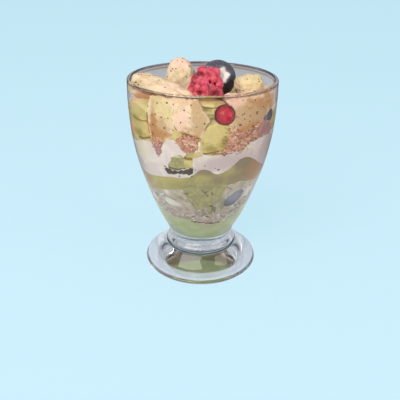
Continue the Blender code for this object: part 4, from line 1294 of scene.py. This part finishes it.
# Its outline, as (share of the height, share of the radius).
RASPBERRY_OUTLINE = [
    (0.0, 0.95), (0.12, 1.03), (0.3, 1.02), (0.5, 0.92), (0.7, 0.76), (0.86, 0.58), (0.97, 0.34)]
DRUPELET_ROWS = 6
DRUPELET_SPACING = 3.0  # millimetres from one drupelet to the next in a row
DRUPELET_INSET = 1.3  # millimetres from the outline in to a drupelet's middle
CORE_WIDE, CORE_TALL = 0.84, 0.95  # the core's size against the outline's


def outline_radius(share):
    shares, radii = zip(*RASPBERRY_OUTLINE)
    return np.interp(share, shares, radii) * RASPBERRY_RADIUS


def drupelet_places(draw):
    """Rows of drupelets round the berry, each row turned half a step and every one a little out of line."""
    for row in range(DRUPELET_ROWS):
        share = (row + 0.45) / (DRUPELET_ROWS + 0.4)
        radius = outline_radius(share) - DRUPELET_INSET
        count = max(1, round(math.tau * radius / DRUPELET_SPACING))
        for i in range(count):
            turn = math.tau * (i + 0.5 * (row % 2)) / count + draw.uniform(-0.16, 0.16)
            out = radius + draw.uniform(-0.5, 0.4)
            yield (out * math.cos(turn), out * math.sin(turn),
                   share * RASPBERRY_HEIGHT + draw.uniform(-0.7, 0.7)), draw.uniform(1.7, 2.5)
    yield (0.4, 0.0, RASPBERRY_HEIGHT - 2.2), 2.0


def raspberry(draw):
    """Drupelets over a core that fills the gaps, melted into one skin."""
    pieces = []
    for place, radius in drupelet_places(draw):
        bpy.ops.mesh.primitive_uv_sphere_add(
            segments=20, ring_count=14, radius=radius * MM, location=[side * MM for side in place])
        pieces.append(settle(bpy.context.object))
    core = [(r * RASPBERRY_RADIUS * CORE_WIDE, s * RASPBERRY_HEIGHT * CORE_TALL)
            for s, r in RASPBERRY_OUTLINE]
    berry = join([*pieces, spin_round(extrude_through(core), 40)])
    melt_together(berry, 0.28, 3)
    displaced(berry, 1.6, 0.5, detail=2, seed=9)
    berry.rotation_euler = [math.radians(lean) for lean in (*RASPBERRY_LEAN, 0)]
    berry.location = around(*RASPBERRY_AT)
    return settle(berry)


# %% The raspberry's finish and its hairs
def gaps_between(points):
    """How deep each point lies in the gaps between the drupelets, from 0 on top of one."""
    axis = np.array(around(*RASPBERRY_AT))
    out = np.hypot(points[:, 0] - axis[0], points[:, 1] - axis[1]) / MM
    up = (points[:, 2] - axis[2]) / MM / RASPBERRY_HEIGHT
    return np.clip((outline_radius(up) + 0.2 - out) / 1.6, 0, 1) * (up < 0.9) * 1.1


def hairs_on(obj, count, draw):
    """Fine hairs at points picked at random, each a thin grain standing out from the skin with a little lean."""
    mesh = obj.data
    for index in draw.sample(range(len(mesh.vertices)), count):
        vert = mesh.vertices[index]
        aside = Vector((draw.gauss(0, 0.35), draw.gauss(0, 0.35), draw.gauss(0, 0.35)))
        lean = (vert.normal + aside).normalized()
        half = draw.uniform(0.5, 1.0) * 0.8 * MM
        yield vert.co + lean * half, (0.05 * MM, 0.05 * MM, half), lean.to_track_quat("Z", "Y").to_matrix()


raspberry_red = food(
    "raspberry flesh", shade(218, 84, 108), shade(180, 42, 66), shade(238, 150, 164), patch=3, grain=0.7,
    roughness=0.42, bump=0.25, soft=0.2, painted={"shadowed": shade(128, 24, 42)})
hair_pink = food("raspberry hairs", shade(246, 190, 190), shade(236, 160, 160), shade(250, 220, 210),
                 patch=2, grain=0.5)
berry = raspberry(random.Random(7))
berry_points = points_of(berry)
paint(berry, "shadowed", gaps_between(berry_points) + patches_at(berry_points, [
    (26, 110, 22, 6, 0.55), (12, 113.5, 7, 3, 0.5)]))
serve(berry, "raspberry_drupelets", raspberry_red, "raspberry_flesh", "raspberry")
hairs = many(small_ball(1), list(hairs_on(berry, 150, random.Random(5))))
serve(hairs, "raspberry_hairs", hair_pink, "raspberry_flesh")

# %% The redcurrant
currant_red = food("currant skin", (0.47, 0.005, 0.018), (0.33, 0.0025, 0.010), (0.54, 0.017, 0.034),
                   patch=4, grain=1.0, roughness=0.14, bump=0.0, soft=0.1,
                   painted={"tip": (0.06, 0.03, 0.02)})
currant_tree = currant_red.node_tree
currant_shader = currant_tree.nodes["Principled BSDF"]
skin_colour = currant_shader.inputs["Base Color"].links[0].from_socket
# Painted shade: the skin's colour darkens towards its outline, where it turns away from view.
facing = add_node(currant_tree, "LayerWeight", {"Blend": 0.4}).outputs["Facing"]
turned = ramp_between(currant_tree, facing, 0.10, 0.75)
feed(currant_tree, currant_shader, {
    "Base Color": blend_colours(currant_tree, turned, skin_colour, (0.20, 0.002, 0.008)),
    "Specular IOR Level": 0.3})


def redcurrant(azimuth, distance, height, radius):
    """A ball with faint ribs and a dimpled tip, which points down and away."""
    ball, points, off_tip, spin = ball_with_pole(64, 44)
    dimple = 0.05 * np.exp(-((off_tip / 12) ** 2))
    ribs = 0.004 * np.cos(10 * spin) * np.sin(np.radians(off_tip))
    set_points(ball, points * (1 - dimple + ribs)[:, None])
    paint(ball, "tip", np.exp(-((off_tip / 11) ** 4)))
    ball.scale = (radius * MM,) * 3
    ball.rotation_euler = (math.radians(-160), math.radians(25), 0)
    ball.location = around(azimuth, distance, height)
    return settle(ball)


currant = redcurrant(*CURRANT_AT, CURRANT_RADIUS)
press(currant, FRUIT_PRESS + 0.1, cling=0.02)
serve(currant, "redcurrant_fruit", currant_red, "currant_skin", "currant")

# %% [markdown]
# ## The seeds
#
# Poppy seeds were baked into the biscuits. They are dark and small, and each lies half sunk in the
# surface, so they are placed on points of the finished biscuits with their flat side along the skin.

# %% Where the seeds show in front
# As (azimuth, height) at the wall.
FRONT_SEEDS = {
    "biscuit_front_left": [
        (-35.7, 103.8), (-30.5, 102.9), (-24.7, 103.0), (-25.3, 110.4), (-33.6, 109.6), (-21.3, 96.7),
        (-28, 97.5), (-38.5, 98)],
    "biscuit_front": [
        (-12.6, 107.6), (-8.4, 104.2), (-19.5, 97.4), (-15.5, 101.5), (-3.5, 99.5), (1.6, 101.6),
        (-8, 110.6)],
    "biscuit_front_right": [
        (29.6, 104.8), (31.8, 102.4), (40.2, 111.0), (42.9, 104.5), (29.4, 111.8), (28.9, 99.3), (24.6, 104),
        (36.5, 100.8), (49.5, 106.5), (34.8, 107.2)],
}
# How many more are strewn over each biscuit.
SEED_COUNTS = {"biscuit_standing": 80, "biscuit_long": 50, "biscuit_right": 50, "biscuit_front_left": 6,
               "biscuit_front": 8}
OTHER_COUNT = 14


# %% Sow the seeds
def seed_at(vert, draw, smallest=0.3):
    """A seed half sunk at a point of a biscuit, at least smallest millimetres from middle to end."""
    upright = vert.normal.to_track_quat("Z", "Y").to_matrix()
    turn = upright @ Matrix.Rotation(draw.uniform(0, math.tau), 3, "Z")
    half = draw.uniform(smallest, smallest + 0.22) * MM
    return vert.co + vert.normal * 0.02 * MM, (half, half * draw.uniform(0.6, 1.0), half * 0.5), turn


def seeds_on(obj, count, draw):
    mesh = obj.data
    for index in draw.sample(range(len(mesh.vertices)), count):
        yield seed_at(mesh.vertices[index], draw)


def seeds_in_front(obj, places, draw):
    """Seeds at the point of the piece that is nearest to each place at the wall."""
    points = points_of(obj)
    for azimuth, height in places:
        place = np.array(around(azimuth, float(wall_at(height * MM)) / MM, height))
        nearest = int(np.argmin(np.linalg.norm(points - place, axis=1)))
        yield seed_at(obj.data.vertices[nearest], draw, 0.34)


draw = random.Random(77)
seed_places = []
for name, piece in biscuit_pieces.items():
    seed_places += seeds_on(piece, SEED_COUNTS.get(name, OTHER_COUNT), draw)
for name, places in FRONT_SEEDS.items():
    seed_places += seeds_in_front(biscuit_pieces[name], places, draw)
seeds = many(small_ball(2), seed_places)
seed_coat = food("poppy seeds", (0.085, 0.085, 0.055), (0.030, 0.028, 0.018), (0.16, 0.14, 0.09),
                 patch=1, grain=0.3, roughness=0.5, bump=0.3, pit=0.3)
serve(seeds, "poppy_seeds", seed_coat, "seeded_biscuit")

# %% [markdown]
# ## The table, the light and the camera
#
# The glass stands on a plain pale table that runs back to the horizon. One wide soft lamp stands at the
# upper left in front, as a window would, and a weaker warm one at the right fills the shadows. What the
# glass mirrors and what is seen through it are set apart from what the camera sees behind it, because a
# clear glass looks right only when it has something darker and something paler than itself to show.

# %% The table
SEEN_BLUE = (*shade(196, 235, 249), 1)
SEEN_SHARE = 0.80  # how much of the table's look to the camera is the plain blue
scene = bpy.context.scene
bpy.ops.mesh.primitive_plane_add(size=6, location=(0, 0, -0.0002))
table = bpy.context.object
table.name = "table"
table_finish, table_tree, table_shader = new_material("pale table")
feed(table_tree, table_shader, {"Base Color": (0.62, 0.68, 0.78, 1), "Roughness": 0.8})
seen_table = add_node(table_tree, "Emission", {"Color": SEEN_BLUE, "Strength": 1.08})
table_place = add_node(table_tree, "TexCoord").outputs["Object"]
from_glass = add_node(table_tree, "VectorMath", {0: table_place}, operation="LENGTH").outputs["Value"]
mirrored = add_node(table_tree, "Emission", {"Color": blend_colours(
    table_tree, ramp_between(table_tree, from_glass, 0.07, 0.20), (0.86, 0.94, 1.0), (0.16, 0.18, 0.21))})
table_rays = add_node(table_tree, "LightPath").outputs
only_mirrored = reckon(
    table_tree, "SUBTRACT", table_rays["Is Glossy Ray"], table_rays["Is Transmission Ray"], clamp=True)
lit_way = add_node(table_tree, "MixShader", {
    0: only_mirrored, 1: table_shader.outputs[0], 2: mirrored.outputs[0]})
table_way = add_node(table_tree, "MixShader", {
    0: reckon(table_tree, "MULTIPLY", table_rays["Is Camera Ray"], SEEN_SHARE),
    1: lit_way.outputs[0], 2: seen_table.outputs[0]})
feed(table_tree, table_tree.nodes["Material Output"], {"Surface": table_way.outputs[0]})
table.data.materials.append(table_finish)
print("table:", table.dimensions.x, "m")

# %% The room
# Colour of the room by height, from the table's level to overhead.
ROOM_COLOURS = [(0.0, (0.12, 0.11, 0.13, 1)), (0.05, (0.15, 0.13, 0.15, 1)), (0.15, (0.84, 0.88, 0.98, 1)),
                (0.75, (1.0, 0.97, 0.94, 1)), (1.0, (0.94, 0.91, 0.88, 1))]
room = bpy.data.worlds.new("room")
scene.world = room
room.use_nodes = True
room_tree = room.node_tree
room_side = add_node(room_tree, "SeparateXYZ", {0: add_node(room_tree, "TexCoord").outputs["Generated"]})
walls = add_node(room_tree, "ValToRGB", {0: room_side.outputs["Z"]})
for height, colour in ROOM_COLOURS[1:-1]:
    walls.color_ramp.elements.new(height)
for element, (height, colour) in zip(walls.color_ramp.elements, ROOM_COLOURS):
    element.position = height
    element.color = colour
room_rays = add_node(room_tree, "LightPath").outputs
through_glass = room_rays["Is Transmission Ray"]
lit_room = room_tree.nodes["Background"]
feed(room_tree, lit_room, {
    "Color": blend_colours(room_tree, through_glass, walls.outputs[0], (0.86, 0.90, 0.97)), "Strength": 0.56})
seen_room = add_node(room_tree, "Background", {"Color": SEEN_BLUE})
room_way = add_node(room_tree, "MixShader", {
    0: room_rays["Is Camera Ray"], 1: lit_room.outputs[0], 2: seen_room.outputs[0]})
feed(room_tree, room_tree.nodes["World Output"], {"Surface": room_way.outputs[0]})
print("room colours:", len(ROOM_COLOURS))

# %% The lamps
GLASS_MIDDLE = Vector((0, 0, 0.06))


def lamp(name, place, size, watts, colour):
    """A soft rectangle of light, turned to the middle of the glass."""
    bpy.ops.object.light_add(type="AREA", location=place)
    light = bpy.context.object
    light.name = name
    light.data.shape = "RECTANGLE"
    light.data.size, light.data.size_y = size
    light.data.energy = watts
    light.data.color = colour
    light.rotation_euler = (GLASS_MIDDLE - light.location).to_track_quat("-Z", "Y").to_euler()
    print("lit by:", name)


lamp("window_light", (-0.34, -0.58, 0.60), (0.8, 0.6), 6.7, (1.0, 0.965, 0.91))
lamp("warm_fill", (0.60, -0.35, 0.30), (0.4, 0.5), 1.7, (1.0, 0.90, 0.82))

# %% Camera, at the height and distance that the photo's ellipses give
EYE = Vector((0, -0.26522, 0.17596))
PITCH = 0.4770  # radians that it looks down
ROLL = 0.0134  # radians that it is turned about its own view
forward = Vector((0, math.cos(PITCH), -math.sin(PITCH)))
right = Vector((1, 0, 0))
up = right.cross(forward)
rolled_right = math.cos(ROLL) * right + math.sin(ROLL) * up
rolled_up = -math.sin(ROLL) * right + math.cos(ROLL) * up
view = Matrix((rolled_right, rolled_up, -forward)).transposed().to_4x4()
view.translation = EYE
bpy.ops.object.camera_add()
camera = bpy.context.object
camera.matrix_world = view
camera.data.lens = 43.27
camera.data.sensor_width = 36
camera.data.shift_x = -0.002775
camera.data.clip_start = 0.01
scene.camera = camera
scene.view_settings.view_transform = "Standard"
scene.cycles.use_denoising = True
scene.cycles.max_bounces = 16
scene.cycles.transmission_bounces = 16
print("camera:", round(camera.data.lens, 1), "mm lens")
